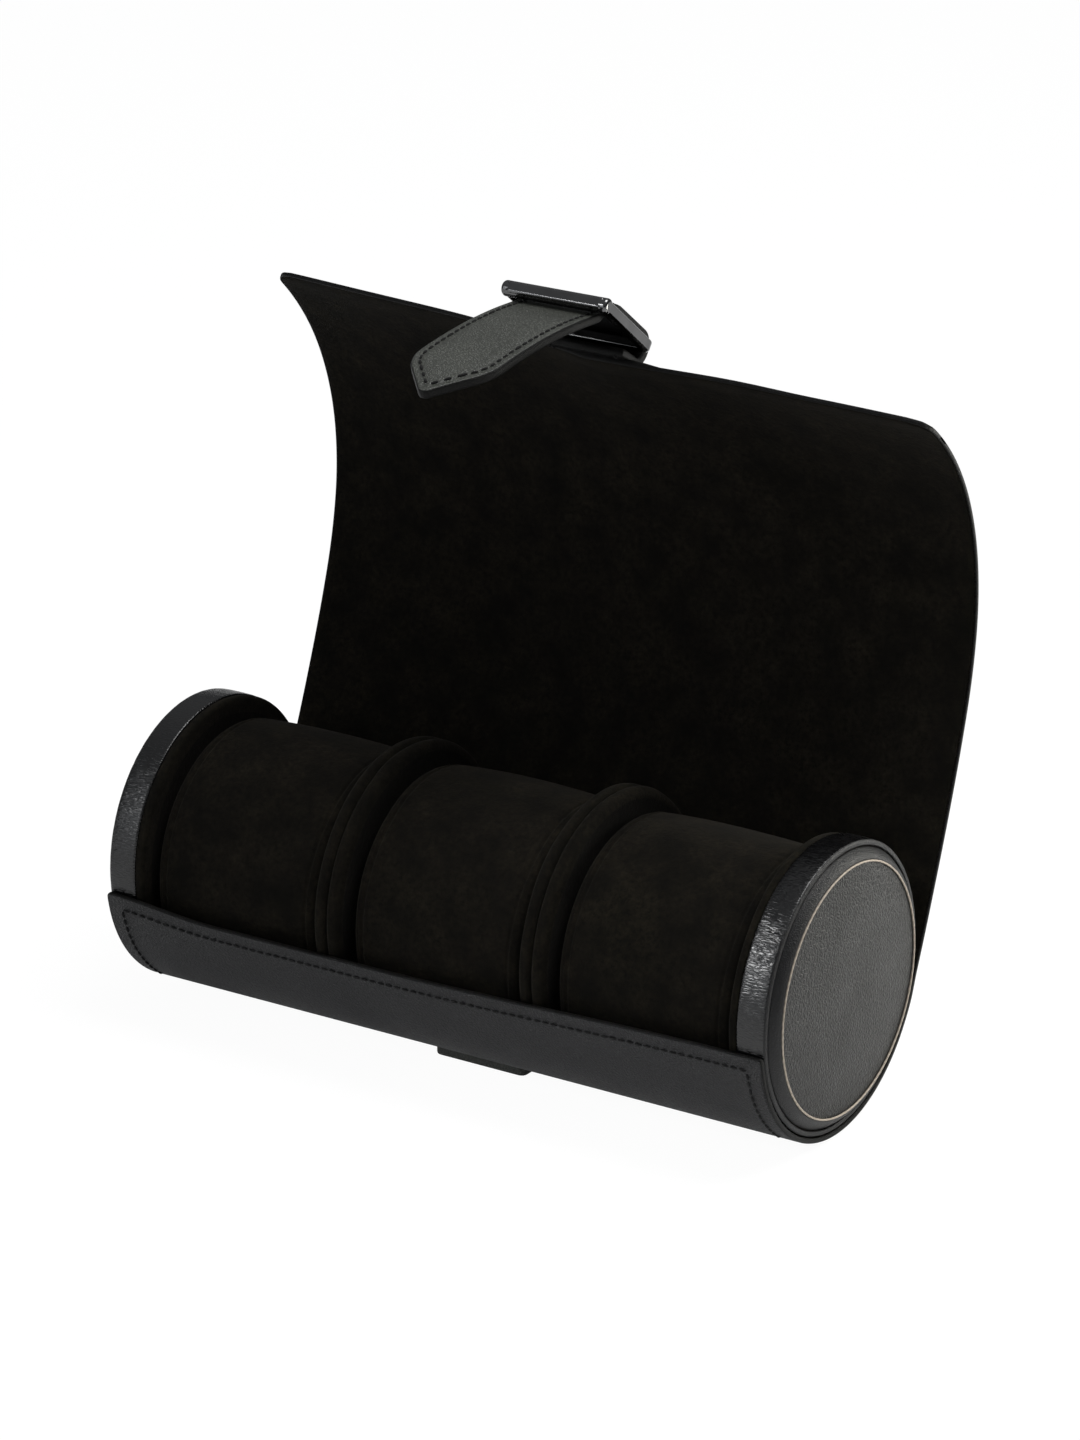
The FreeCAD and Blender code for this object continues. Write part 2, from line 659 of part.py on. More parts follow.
# The last strip ends in a point, cut by two slanting planes.
tip = across(tongue[TONGUE_STRIPS][1], tongue[TONGUE_STRIPS][0])
tip_end = Vector(-size("strip_gap"), 0, 0)
slant = math.degrees(math.atan2(size("strap_width") / 2, size("strap_point")))
pointed = tongues[2]
for side, course in (("left", slant), ("right", HALF_TURN - slant)):
    knife = doc.addObject("Part::Box", f"strap_knife_{side}")
    for edge_name in ("Length", "Width", "Height"):
        knife.setExpression(edge_name, cell("2 * strap_width"))
    knife.Placement = (
        tip
        * Placement(tip_end, Rotation(Vector(0, 1, 0), course))
        * Placement(Vector(-1, -1, 0) * size("strap_width"), Rotation())
    )
    pointed = cut(f"strap_point_{side}", pointed, knife)
nose = tip.multVec(tip_end)


def at_nose(edge):
    """True for the edge where the point's two slanting sides meet."""
    return edge.CenterOfMass.distanceToPoint(nose) < size("strap_point") and abs(edge.CenterOfMass.x) < 1e-6


def at_shoulder(edge):
    """True for the edges where the strap's sides turn into the point."""
    beside = abs(abs(edge.CenterOfMass.x) - size("strap_width") / 2) < size("bond_gap")
    reach = math.hypot(size("strap_point"), size("strap_width") / 2) + size("strip_gap")
    short = edge.Length < 2 * size("strap_thick")
    return beside and short and edge.CenterOfMass.distanceToPoint(nose) < reach


blunt = rounded("strap_blunt", pointed, at_nose, size("strap_nose"))
named(rounded("strap_4", blunt, at_shoulder, size("strap_shoulder")), "strap_4")

# Buckle: polished frame; its rear bar swivels in the strap's fold, its round front bar lies over the strap.
WINDOW_SIDE = "(strap_width / 2 + buckle_clear)"
FRAME_SIDE = f"({WINDOW_SIDE} + buckle_side)"
BAR = "buckle_rear / 2"
FRAME_END = "(buckle_length - buckle_rear / 2)"
frame = doc.addObject("PartDesign::Body", "buckle_body")
plan = frame.newObject("Sketcher::SketchObject", "buckle_plan")
plan.AttachmentSupport = (plane(frame, "XZ_Plane"), [""])
plan.MapMode = "FlatFace"
used = outline(
    plan,
    [
        (f"-{BAR}", f"-{FRAME_SIDE}"),
        (FRAME_END, f"-{FRAME_SIDE}"),
        (FRAME_END, FRAME_SIDE),
        (f"-{BAR}", FRAME_SIDE),
    ],
)
outline(
    plan,
    [
        (BAR, f"-{WINDOW_SIDE}"),
        (f"{FRAME_END} - buckle_front", f"-{WINDOW_SIDE}"),
        (f"{FRAME_END} - buckle_front", WINDOW_SIDE),
        (BAR, WINDOW_SIDE),
    ],
    used,
)


def padded(body, sketch, length):
    """Raise a sketch by half a length to each side."""
    pad = body.newObject("PartDesign::Pad", sketch.Name + "_pad")
    pad.Profile = sketch
    pad.SideType = "Symmetric"
    pad.setExpression("Length", cell(length))
    doc.recompute()


def eased(body, label, wanted, rounding):
    """Round the edges of a body whose middle meets a test."""
    bare = body.Tip
    found = [f"Edge{i}" for i, e in enumerate(bare.Shape.Edges, 1) if wanted(e)]
    ease = body.newObject("PartDesign::Fillet", label)
    ease.Base = (bare, found)
    ease.setExpression("Radius", cell(rounding))
    body.Tip = ease
    doc.recompute()


padded(frame, plan, "buckle_thick")
half_width = worth(FRAME_SIDE)
half_height = size("buckle_thick") / 2
eased(
    frame,
    "buckle_corners",
    lambda e: abs(e.CenterOfMass.y) < 1e-6 and abs(abs(e.CenterOfMass.z) - half_width) < 1e-6,
    "buckle_corner",
)
eased(
    frame,
    "buckle_edges",
    lambda e: abs(abs(e.CenterOfMass.y) - half_height) < 1e-6,
    "buckle_round",
)
frame.Placement = across(frame_heading, pivot)
bar = doc.addObject("Part::Cylinder", "buckle_front_bar")
bar.setExpression("Radius", cell("buckle_front / 2"))
bar.setExpression("Height", cell(f"2 * {FRAME_SIDE}"))
bar.Placement = across(frame_heading, pivot) * Placement(Vector(bar_reach, 0, -half_width), Rotation())
round_bar = rounded(
    "buckle_front_round", bar, lambda e: isinstance(e.Curve, Part.Circle), size("front_round")
)
named(joined("buckle_frame", [frame, round_bar]), "buckle_frame")

doc.removeObject(gauge.Name)
doc.recompute()
for item in doc.Objects:
    if "Invalid" in item.State or "Error" in item.State:
        raise RuntimeError(f"{item.Label} did not rebuild: {item.State}")
for item in nodes:
    if item.Shape.isNull() or not item.Shape.isValid() or len(item.Shape.Solids) != 1:
        raise RuntimeError(f"{item.Label} is not one valid solid")
os.makedirs("parts", exist_ok=True)
for item in nodes:
    item.Shape.exportStep(f"parts/{item.Label}.step")
for i, (point, heading) in enumerate(flap):
    print(f"flap line {i + 1}: y {point.y:.3f} z {point.z:.3f} heading {heading:.2f}")
for i, (point, heading) in enumerate(tongue):
    print(f"tongue line {i + 1}: y {point.y:.3f} z {point.z:.3f} heading {heading:.2f}")
print(f"buckle swivel: {pivot}")
print(f"{len(nodes)} pieces")
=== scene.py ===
import json
import math

import bmesh
import bpy
import numpy as np
from bpy.props import FloatProperty, FloatVectorProperty, PointerProperty
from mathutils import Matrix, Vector
from mathutils.bvhtree import BVHTree


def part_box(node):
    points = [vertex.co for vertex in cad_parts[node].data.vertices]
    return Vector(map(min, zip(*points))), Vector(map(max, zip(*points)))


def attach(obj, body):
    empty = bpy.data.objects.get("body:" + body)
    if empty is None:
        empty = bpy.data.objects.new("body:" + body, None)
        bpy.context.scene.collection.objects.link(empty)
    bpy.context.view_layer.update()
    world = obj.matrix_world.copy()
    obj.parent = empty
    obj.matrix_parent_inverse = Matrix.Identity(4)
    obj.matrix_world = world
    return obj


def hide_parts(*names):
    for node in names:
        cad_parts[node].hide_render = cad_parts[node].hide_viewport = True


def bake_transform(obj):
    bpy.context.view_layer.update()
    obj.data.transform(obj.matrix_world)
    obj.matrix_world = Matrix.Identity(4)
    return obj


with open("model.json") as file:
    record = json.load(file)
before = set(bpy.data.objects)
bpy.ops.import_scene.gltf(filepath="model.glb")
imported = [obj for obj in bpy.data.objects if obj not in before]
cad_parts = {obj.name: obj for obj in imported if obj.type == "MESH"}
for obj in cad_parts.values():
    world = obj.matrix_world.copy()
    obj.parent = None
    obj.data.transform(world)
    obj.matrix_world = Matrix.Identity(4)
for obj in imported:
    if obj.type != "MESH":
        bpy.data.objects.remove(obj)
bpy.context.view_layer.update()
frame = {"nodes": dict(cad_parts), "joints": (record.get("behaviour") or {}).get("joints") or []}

bl_info = {
    "name": "Watch roll",
    "version": (1, 0, 0),
    "blender": (4, 5, 0),
    "location": "3D View > Sidebar > Watch roll",
    "description": "Dresses an open leather roll for three watches and lights it",
    "category": "Object",
}

MM = 0.001
# Hinge lines of the joints: place across the roll and height, in millimetres.
HINGES = {j["name"]: np.array(j["pos_m"])[1:] / MM for j in frame["joints"] if "pos_m" in j}


def span(node):
    """Lowest and highest corner of a solid, in millimetres."""
    low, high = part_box(node)
    return np.array(low) / MM, np.array(high) / MM


RIM_LOW, RIM_HIGH = span("cap_right_band")
AXIS = (RIM_LOW[2] + RIM_HIGH[2]) / 2
CAP_RADIUS = (RIM_HIGH[2] - RIM_LOW[2]) / 2
END = RIM_HIGH[0]
# Stretches of a sheet are told apart by letters.
LETTERS = "abcdefghij"


# Colours

def linear(code):
    """Linear colour of an sRGB hex value."""
    parts = [int(code[i:i + 2], 16) / 255 for i in (1, 3, 5)]
    return tuple(c / 12.92 if c <= 0.04045 else ((c + 0.055) / 1.055) ** 2.4 for c in parts) + (1.0,)


def colour(label, note, code):
    """A colour setting."""
    return FloatVectorProperty(name=label, description=note, subtype="COLOR", size=4, min=0, max=1,
                               default=linear(code))


def length(label, note, millimetres):
    """A size setting in metres."""
    return FloatProperty(name=label, description=note, unit="LENGTH", subtype="DISTANCE", precision=5,
                         default=millimetres * MM)


class WatchRollColours(bpy.types.PropertyGroup):
    grain: colour("Grained leather", "Cover and flap", "#111113")
    # The end pads are the cover's leather coloured lighter: painted light, standing in for light from the
    # right.
    pad: colour("Pad leather, lightened", "End pads", "#171715")
    band: colour("Band leather", "Glossy bands round the caps", "#070708")
    strap: colour("Strap leather", "Strap and landing pad", "#444640")
    edge: colour("Painted edge", "Sealed edges of the strap, cover and flap", "#090908")
    # The near-black strap lining is partly a real lining and partly painted shade: it also covers the sewn
    # end's outer face and the fold's inner faces under the buckle, which lie in shadow.
    lining: colour("Strap lining", "Inner face of the strap, and its sewn end", "#060606")
    suede: colour("Suede", "Lining, cuffs, and the edges of facings and dividers", "#11100c")
    # Near-black cloth is painted shade: it colours the deep faces of the dividers and end-cap facings, which
    # lie in shadow inside the roll.
    shade_cloth: colour("Lining cloth", "Faces of the dividers and end caps inside the roll", "#060605")
    piping: colour("Piping", "Waxed cord in the end pads", "#a89c8e")
    thread: colour("Thread", "Sewing thread", "#020202")
    metal: colour("Gunmetal", "Buckle", "#626262")
    board: colour("Fibreboard", "Hidden cores and boards", "#1d1814")
    steel: colour("Steel", "Hidden magnet and its plate", "#b4b6b8")
    ground: colour("Floor", "Studio floor", "#f7f7f7")


class WatchRollSizes(bpy.types.PropertyGroup):
    rim: length("Leather rim", "Leather turned over the edge of the lining", 0.6)
    skive: length("Skiving", "How much thinner the flap's leather is at its edges", 0.95)
    lip_corner: length("Lip corner", "Rounding of the lip's corners", 1.5)
    flap_corner: length("Flap corner", "Rounding of the flap's free corners", 8.0)
    lip_sag: length("Lip sag", "How far the middle of the lip hangs below its corners", 3.0)
    hem: length("Hem", "Width of the turned hem under the lining", 6.5)
    hem_rise: length("Hem rise", "How far the hem lifts the lining", 0.22)
    twist_back: length("Twist, back", "How far the flap's left corner turns back", 4.0)
    twist_up: length("Twist, up", "How far the flap's left corner turns up", 7.4)
    stitch_pitch: length("Stitch pitch", "From stitch to stitch", 3.0)
    stitch_length: length("Stitch", "Thread that shows of one stitch", 2.5)
    thread: length("Thread", "Thickness of the thread", 0.95)
    lip_stitch: length("Lip stitching", "Stitch line from the lip's edge", 4.7)
    strap_stitch: length("Strap stitching", "Stitch line from the strap's edge", 2.9)
    cuff_swell: length("Cuff swell", "Most that the foam presses a cuff out", 1.3)
    seam: length("Cuff seam", "Seam ring from the cuff's end", 4.6)
    seam_depth: length("Seam depth", "Depth of the cuff's seam", 0.35)
    wrinkle: length("Band wrinkles", "Depth of the band's wrinkles", 0.02)


# Nodes and finishes

def put(tree, kind, inputs=None, **settings):
    """Add a node; inputs holds values for its sockets, or outputs of other nodes to link to them."""
    node = tree.nodes.new(kind)
    for key, value in settings.items():
        setattr(node, key, value)
    for key, value in (inputs or {}).items():
        if isinstance(value, bpy.types.NodeSocket):
            tree.links.new(value, node.inputs[key])
        else:
            node.inputs[key].default_value = value
    return node


def toned(rgba, share):
    """The same hue, lighter or darker."""
    return tuple(min(1.0, c * share) for c in rgba[:3]) + (1.0,)


def finish_of(name, inputs, coordinates="Object"):
    """A finish with its shader's plain values: the material, its tree, shader and coordinates."""
    material = bpy.data.materials.new(name)
    material.use_nodes = True
    tree = material.node_tree
    tree.nodes.clear()
    shader = put(tree, "ShaderNodeBsdfPrincipled", inputs)
    put(tree, "ShaderNodeOutputMaterial", {"Surface": shader.outputs["BSDF"]})
    return material, tree, shader, put(tree, "ShaderNodeTexCoord").outputs[coordinates]


def wired(material, shader, inputs):
    """Link a finish's patterns to its shader, and hand the finish back."""
    for key, value in inputs.items():
        material.node_tree.links.new(value, shader.inputs[key])
    return material


def mottled(tree, place, patch, dark, light):
    """A tone that drifts between two shades over patches of a size in millimetres, and the patches."""
    noise = put(tree, "ShaderNodeTexNoise", {"Vector": place, "Scale": 1 / (patch * MM), "Detail": 4.0})
    level = put(tree, "ShaderNodeMapRange",
                {"Value": noise.outputs["Fac"], "From Min": 0.3, "From Max": 0.7}).outputs["Result"]
    tone = put(tree, "ShaderNodeMix", {0: level, 6: dark, 7: light}, data_type="RGBA")
    return tone.outputs[2], level


# Sizes of the patterns in these finishes are in millimetres.

def grained_leather(name, rgba, pebble, depth, gloss, shine=0.5):
    """Drummed cowhide: round pebbles with creases between them darkened in colour as painted shade, satin
    and a little uneven.
    """
    patch, pore, uneven = 22, 0.4, 0.05
    material, tree, shader, place = finish_of(name, {"IOR": 1.5, "Specular IOR Level": shine})
    drift = put(tree, "ShaderNodeTexNoise", {"Vector": place, "Scale": 0.5 / (pebble * MM), "Detail": 2.0})
    bent = put(tree, "ShaderNodeVectorMath",
               {0: drift.outputs["Color"], 1: (pebble * MM * 1.2,) * 3, 2: place}, operation="MULTIPLY_ADD")
    cells = put(tree, "ShaderNodeTexVoronoi", {"Vector": bent.outputs[0], "Scale": 1 / (pebble * MM)},
                feature="DISTANCE_TO_EDGE")
    crease = put(tree, "ShaderNodeMapRange", {"Value": cells.outputs["Distance"], "From Max": 0.3},
                 interpolation_type="SMOOTHSTEP").outputs["Result"]
    pores = put(tree, "ShaderNodeTexNoise", {"Vector": place, "Scale": 1 / (pore * MM), "Detail": 3.0})
    relief = put(tree, "ShaderNodeMath", {0: pores.outputs["Fac"], 1: 0.35, 2: crease},
                 operation="MULTIPLY_ADD")
    bump = put(tree, "ShaderNodeBump",
               {"Strength": 0.6, "Distance": depth * MM, "Height": relief.outputs[0]})
    tone, level = mottled(tree, place, patch, toned(rgba, 0.8), toned(rgba, 1.25))
    # Creases are darkened in colour: painted shade.
    shade = put(tree, "ShaderNodeMix", {0: crease, 6: toned(rgba, 0.45), 7: tone}, data_type="RGBA")
    rough = put(tree, "ShaderNodeMapRange",
                {"Value": level, "To Min": gloss - uneven, "To Max": gloss + uneven})
    return wired(material, shader, {"Base Color": shade.outputs[2], "Roughness": rough.outputs["Result"],
                                    "Normal": bump.outputs["Normal"]})


def creased_leather(name, rgba):
    """Glazed calf drawn tight round the rim: glossy, with long slanting folds and a net of fine creases,
    darkened in colour as painted shade.
    """
    fold, cell, depth = 1.2, 0.8, 0.13
    material, tree, shader, place = finish_of(name, {"IOR": 1.5}, "UV")
    slant = put(tree, "ShaderNodeMapping",
                {"Vector": place, "Rotation": (0, 0, 0.95), "Scale": (1, 0.3, 1)}).outputs[0]
    folds = put(tree, "ShaderNodeTexNoise", {"Vector": slant, "Scale": 1 / (fold * MM), "Detail": 4.0,
                                             "Distortion": 0.8}).outputs["Fac"]
    cells = put(tree, "ShaderNodeTexVoronoi", {"Vector": slant, "Scale": 1 / (cell * MM)},
                feature="DISTANCE_TO_EDGE")
    crease = put(tree, "ShaderNodeMapRange",
                 {"Value": cells.outputs["Distance"], "From Max": 0.25}).outputs["Result"]
    relief = put(tree, "ShaderNodeMath", {0: folds, 1: 1.2, 2: crease}, operation="MULTIPLY_ADD")
    bump = put(tree, "ShaderNodeBump",
               {"Strength": 0.42, "Distance": depth * MM, "Height": relief.outputs[0]})
    # Creases are darkened in colour: painted shade.
    shade = put(tree, "ShaderNodeMix", {0: crease, 6: toned(rgba, 0.5), 7: toned(rgba, 1.1)},
                data_type="RGBA")
    rough = put(tree, "ShaderNodeMapRange",
                {"Value": folds, "From Min": 0.3, "From Max": 0.7, "To Min": 0.2, "To Max": 0.32})
    return wired(material, shader, {"Base Color": shade.outputs[2], "Roughness": rough.outputs["Result"],
                                    "Normal": bump.outputs["Normal"]})


def brushed_suede(name, rgba):
    """Microfibre suede: matt, with nap brushed into lighter and darker patches, with a faint bloom.

    The nap is drawn as coarse as it needs to show.
    """
    patch, nap, depth = 10, 1.7, 0.5
    warm = toned((rgba[0] * 1.25, rgba[1] * 1.12, rgba[2]), 1.0)
    material, tree, shader, place = finish_of(name, {
        "IOR": 1.45, "Roughness": 0.95, "Specular IOR Level": 0.08,
        "Sheen Weight": 0.03, "Sheen Roughness": 0.45, "Sheen Tint": (0.55, 0.5, 0.45, 1)})
    tone, _ = mottled(tree, place, patch, toned(rgba, 0.5), toned(warm, 1.9))
    fibres = put(tree, "ShaderNodeTexNoise", {"Vector": place, "Scale": 1 / (nap * MM), "Detail": 5.0,
                                              "Roughness": 0.75}).outputs["Fac"]
    speck = put(tree, "ShaderNodeMapRange", {"Value": fibres, "From Min": 0.35, "From Max": 0.7})
    shade = put(tree, "ShaderNodeMix", {0: speck.outputs["Result"], 6: toned(rgba, 0.4), 7: tone},
                data_type="RGBA")
    bump = put(tree, "ShaderNodeBump", {"Strength": 0.6, "Distance": depth * MM, "Height": fibres})
    return wired(material, shader, {"Base Color": shade.outputs[2], "Normal": bump.outputs["Normal"]})


def waxed_cord(name, rgba):
    """Twisted and waxed cotton: cream, with slanting strands drawn as coarse as they need to show, darker
    between them as painted shade.
    """
    strand, depth = 6, 0.15
    material, tree, shader, place = finish_of(name, {"IOR": 1.45, "Roughness": 0.6}, "UV")
    slant = put(tree, "ShaderNodeMapping", {"Vector": place, "Rotation": (0, 0, 0.7)})
    strands = put(tree, "ShaderNodeTexWave", {"Vector": slant.outputs[0], "Scale": 1 / (strand * MM),
                                              "Distortion": 0.6}).outputs["Fac"]
    # Darker where the strands sink: painted shade in the grooves between them.
    shade = put(tree, "ShaderNodeMix", {0: strands, 6: toned(rgba, 0.72), 7: rgba}, data_type="RGBA")
    bump = put(tree, "ShaderNodeBump", {"Strength": 0.4, "Distance": depth * MM, "Height": strands})
    return wired(material, shader, {"Base Color": shade.outputs[2], "Normal": bump.outputs["Normal"]})


def polished_metal(name, rgba, low, high, mark):
    """Polished or ground metal: clear reflections dulled here and there by handling marks."""
    material, tree, shader, place = finish_of(name, {"Metallic": 1.0})
    tone, level = mottled(tree, place, mark, toned(rgba, 0.9), toned(rgba, 1.1))
    rough = put(tree, "ShaderNodeMapRange", {"Value": level, "To Min": low, "To Max": high})
    return wired(material, shader, {"Base Color": tone, "Roughness": rough.outputs["Result"]})


def fibrous(name, rgba, fibre, rough):
    """Thread and pressed board: matt fibres, lighter and darker."""
    material, tree, shader, place = finish_of(name, {"IOR": 1.45, "Roughness": rough})
    tone, level = mottled(tree, place, fibre, toned(rgba, 0.65), toned(rgba, 1.35))
    bump = put(tree, "ShaderNodeBump", {"Strength": 0.4, "Distance": fibre * 0.2 * MM, "Height": level})
    return wired(material, shader, {"Base Color": tone, "Normal": bump.outputs["Normal"]})


def finishes():
    """Every finish of the roll by its short name, made once."""
    c = bpy.context.scene.watch_roll_colours
    recipes = {
        "grain": (grained_leather, "Black pebbled cowhide", c.grain, 1.15, 0.42, 0.44, 0.36),
        # The end pad's leather is the cover's, lightened: painted light.
        "pad": (grained_leather, "Black pebbled cowhide, drawn over the end pad",
                c.pad, 1.2, 0.5, 0.5, 0.35),
        "border": (grained_leather, "Black cowhide drawn smooth round the pad",
                   c.grain, 0.8, 0.12, 0.5, 0.3),
        "band": (creased_leather, "Glazed black calf", c.band),
        "strap": (grained_leather, "Dark grey smooth calf", c.strap, 0.9, 0.22, 0.42),
        "edge": (grained_leather, "Sealed leather edge", c.edge, 0.5, 0.1, 0.5, 0.14),
        "lining": (grained_leather, "Black calf lining", c.lining, 0.6, 0.1, 0.6, 0.12),
        "suede": (brushed_suede, "Black-brown microfibre suede", c.suede),
        "shade_cloth": (brushed_suede, "Black lining cloth", c.shade_cloth),
        "piping": (waxed_cord, "Waxed cream cord", c.piping),
        "thread": (fibrous, "Bonded black thread", c.thread, 0.3, 0.9),
        "metal": (polished_metal, "Polished gunmetal", c.metal, 0.07, 0.13, 6),
        "board": (fibrous, "Pressed fibreboard", c.board, 1.0, 0.9),
        "steel": (polished_metal, "Ground steel", c.steel, 0.3, 0.42, 1.5),
    }
    return {key: bpy.data.materials.get(name) or make(name, *values)
            for key, (make, name, *values) in recipes.items()}


# Shapes, in millimetres; a mesh in metres

MERGE_METRES = 2e-6


def smooth(t):
    """Soft step from 0 to 1."""
    t = np.clip(t, 0, 1)
    return t * t * (3 - 2 * t)


def shown(name, mesh, materials, crease):
    """Put a finished mesh in the scene, smooth but for its sharp edges."""
    for material in materials:
        mesh.materials.append(material)
    mesh.shade_smooth()
    mesh.set_sharp_from_angle(angle=math.radians(crease))
    piece = bpy.data.objects.new(name, mesh)
    bpy.context.scene.collection.objects.link(piece)
    return piece


def closed_mesh(name, points, faces, marks=None, uv=None):
    """A mesh from points in millimetres, doubles merged and faces turned outwards."""
    mesh = bpy.data.meshes.new(name)
    mesh.from_pydata([tuple(p) for p in np.asarray(points, float) * MM], [], faces)
    if marks is not None:
        mesh.polygons.foreach_set("material_index", marks)
    if uv is not None:
        layer = mesh.uv_layers.new(name="Surface")
        layer.data.foreach_set("uv", np.asarray(uv, np.float32).ravel())
    shape = bmesh.new()
    shape.from_mesh(mesh)
    bmesh.ops.remove_doubles(shape, verts=shape.verts, dist=MERGE_METRES)
    bmesh.ops.recalc_face_normals(shape, faces=shape.faces)
    if shape.calc_volume(signed=True) < 0:
        bmesh.ops.reverse_faces(shape, faces=shape.faces)
    shape.to_mesh(mesh)
    shape.free()
    return mesh


def slab(name, place, s, x, low, high, materials, trim=None, crease=50, under=0):
    """A sheet between two faces, rows along s and columns across x, closed at its sides and ends.

    Faces beside a point of trim, and the closing faces, take the second finish. The low face takes the
    finish of number under.
    """
    rows, cols = s.shape
    count = rows * cols
    points = np.vstack([place(s, x, low).reshape(-1, 3), place(s, x, high).reshape(-1, 3)])
    edge = 0 if trim is None else 1
    faces, marks = [], []
    for r in range(rows - 1):
        for c in range(cols - 1):
            a = r * cols + c
            mark = int(edge and trim[r:r + 2, c:c + 2].any())
            faces += [(a, a + 1, a + cols + 1, a + cols),
                      (count + a, count + a + cols, count + a + cols + 1, count + a + 1)]
            marks += [mark or under, mark]
    for r in (0, rows - 1):
        for c in range(cols - 1):
            a = r * cols + c
            faces.append((a, count + a, count + a + 1, a + 1))
            marks.append(edge)
    for c in (0, cols - 1):
        for r in range(rows - 1):
            a = r * cols + c
            faces.append((a, a + cols, count + a + cols, count + a))
            marks.append(edge)
    return shown(name, closed_mesh(name, points, faces, marks), materials, crease)


def lathe(name, profile, centre, materials, ring=False, swell=None, segments=160, crease=50, height=AXIS):
    """A turned form about a line along the roll.

    The profile is a row of (x, radius), and swell says how far each point is pressed along its normal.
    """
    profile = np.asarray(profile, float)
    if ring:
        profile = np.vstack([profile, profile[:1]])
    step = np.gradient(profile, axis=0)
    normal = np.stack([-step[:, 1], step[:, 0]], 1)
    normal /= np.maximum(np.linalg.norm(normal, axis=1), 1e-9)[:, None]
    if ring:
        normal[0] = normal[-1] = (normal[0] + normal[-1]) / 2
    angle = np.linspace(0, 2 * math.pi, segments + 1)
    along = np.concatenate([[0], np.cumsum(np.linalg.norm(np.diff(profile, axis=0), axis=1))])
    push = np.zeros((len(profile), segments + 1)) if swell is None else swell(profile, along, angle, normal)
    push[:, -1] = push[:, 0]
    if ring:
        push[-1] = push[0]
    x = profile[:, :1] + push * normal[:, :1] + centre
    r = profile[:, 1:] + push * normal[:, 1:]
    points = np.stack([x, r * np.cos(angle), height + r * np.sin(angle)], -1).reshape(-1, 3)
    wide = segments + 1
    faces, uv = [], []
    radius = profile[:, 1].max()
    for j in range(len(profile) - 1):
        for i in range(segments):
            a = j * wide + i
            faces.append((a, a + 1, a + wide + 1, a + wide))
            u, v = angle[i] * radius * MM, along[j] * MM
            du, dv = (angle[i + 1] - angle[i]) * radius * MM, (along[j + 1] - along[j]) * MM
            uv += [(u, v), (u + du, v), (u + du, v + dv), (u, v + dv)]
    return shown(name, closed_mesh(name, points, faces, uv=uv), materials, crease)


def from_line(face):
    """Distance of a face of a turned form from the roll's line, in metres."""
    return math.hypot(face.center.y, face.center.z - AXIS * MM)


def second_finish(piece, chosen):
    """Give the faces that a test picks the piece's second finish."""
    for face in piece.data.polygons:
        face.material_index = int(chosen(face))


def ripple(seed, count, low, high):
    """A repeatable wavy field on a turned form: how far it lifts at (place along, angle), about -1 to 1."""
    dice = np.random.default_rng(seed)
    turns = dice.integers(low, high, count)
    slope = dice.uniform(-0.5, 0.5, count)
    phase = dice.uniform(0, 2 * math.pi, count)
    size = dice.uniform(0.4, 1.0, count)

    def field(along, angle):
        wave = [a * np.sin(n * angle[None, :] + k * along[:, None] + p)
                for a, n, k, p in zip(size, turns, slope, phase)]
        return sum(wave) / math.sqrt(count)

    return field


# Course of the sheets round the roll

class Course:
    """Arc length along a bent sheet's inner face, and the place and heading there."""

    def __init__(self, start, heading, bend, first, last):
        spacing = 0.1
        self.s = np.linspace(first, last, int((last - first) / spacing) + 2)
        mid = (self.s[1:] + self.s[:-1]) / 2
        step = np.diff(self.s)
        turn = np.concatenate([[0], np.cumsum(bend(mid) * step)])
        self.heading = heading + turn - np.interp(0, self.s, turn)
        middle = (self.heading[1:] + self.heading[:-1]) / 2
        y = np.concatenate([[0], np.cumsum(np.cos(middle) * step)])
        z = np.concatenate([[0], np.cumsum(np.sin(middle) * step)])
        self.y = start[0] + y - np.interp(0, self.s, y)
        self.z = start[1] + z - np.interp(0, self.s, z)

    def at(self, s):
        """Place across, height and heading."""
        return np.interp(s, self.s, self.y), np.interp(s, self.s, self.z), np.interp(s, self.s, self.heading)

    def point(self, x, s, h):
        """Place of a point h outside the inner face."""
        y, z, heading = self.at(s)
        return np.stack(np.broadcast_arrays(x, y + h * np.sin(heading), z - h * np.cos(heading)), -1)


# Sizes of the cover, flap and strap in millimetres, as in the solids.
TROUGH_RADIUS = 46.25
LIP_TURN = math.radians(148)
FLAP_LENGTH = 204.0
FLAP_HEADING = math.radians(65)
FLAP_TURNS = np.radians([3, 1, 2, 3, 9, 14, 16, 18, 16])
FLAP_STRIP = FLAP_LENGTH / len(FLAP_TURNS)
TONGUE_LENGTH = 68.25
TONGUE_TURNS = np.radians([6, 5, 9])
TONGUE_STRIP = TONGUE_LENGTH / len(TONGUE_TURNS)
TONGUE_HEADING = math.radians(177)
STRAP_HALF, STRAP_THICK = 15.0, 3.0
# Through the buckle: over the rear bar, along, down an arch and under the front bar.
BAR_REACH, BAR_TOP, BAR_UNDER = 31.2, 5.3, 3.05
ARCH_RADIUS, FOLD_RADIUS = 10.0, 3.15
ARCH_REACH = math.sqrt((BAR_TOP + BAR_UNDER) * (2 * (ARCH_RADIUS + STRAP_THICK) + BAR_UNDER - BAR_TOP))
ARCH_TURN = math.asin(ARCH_REACH / (ARCH_RADIUS + STRAP_THICK + BAR_UNDER))
DIP_TURN = ARCH_TURN - math.radians(35)
FOLD_TURN = math.radians(178.32)
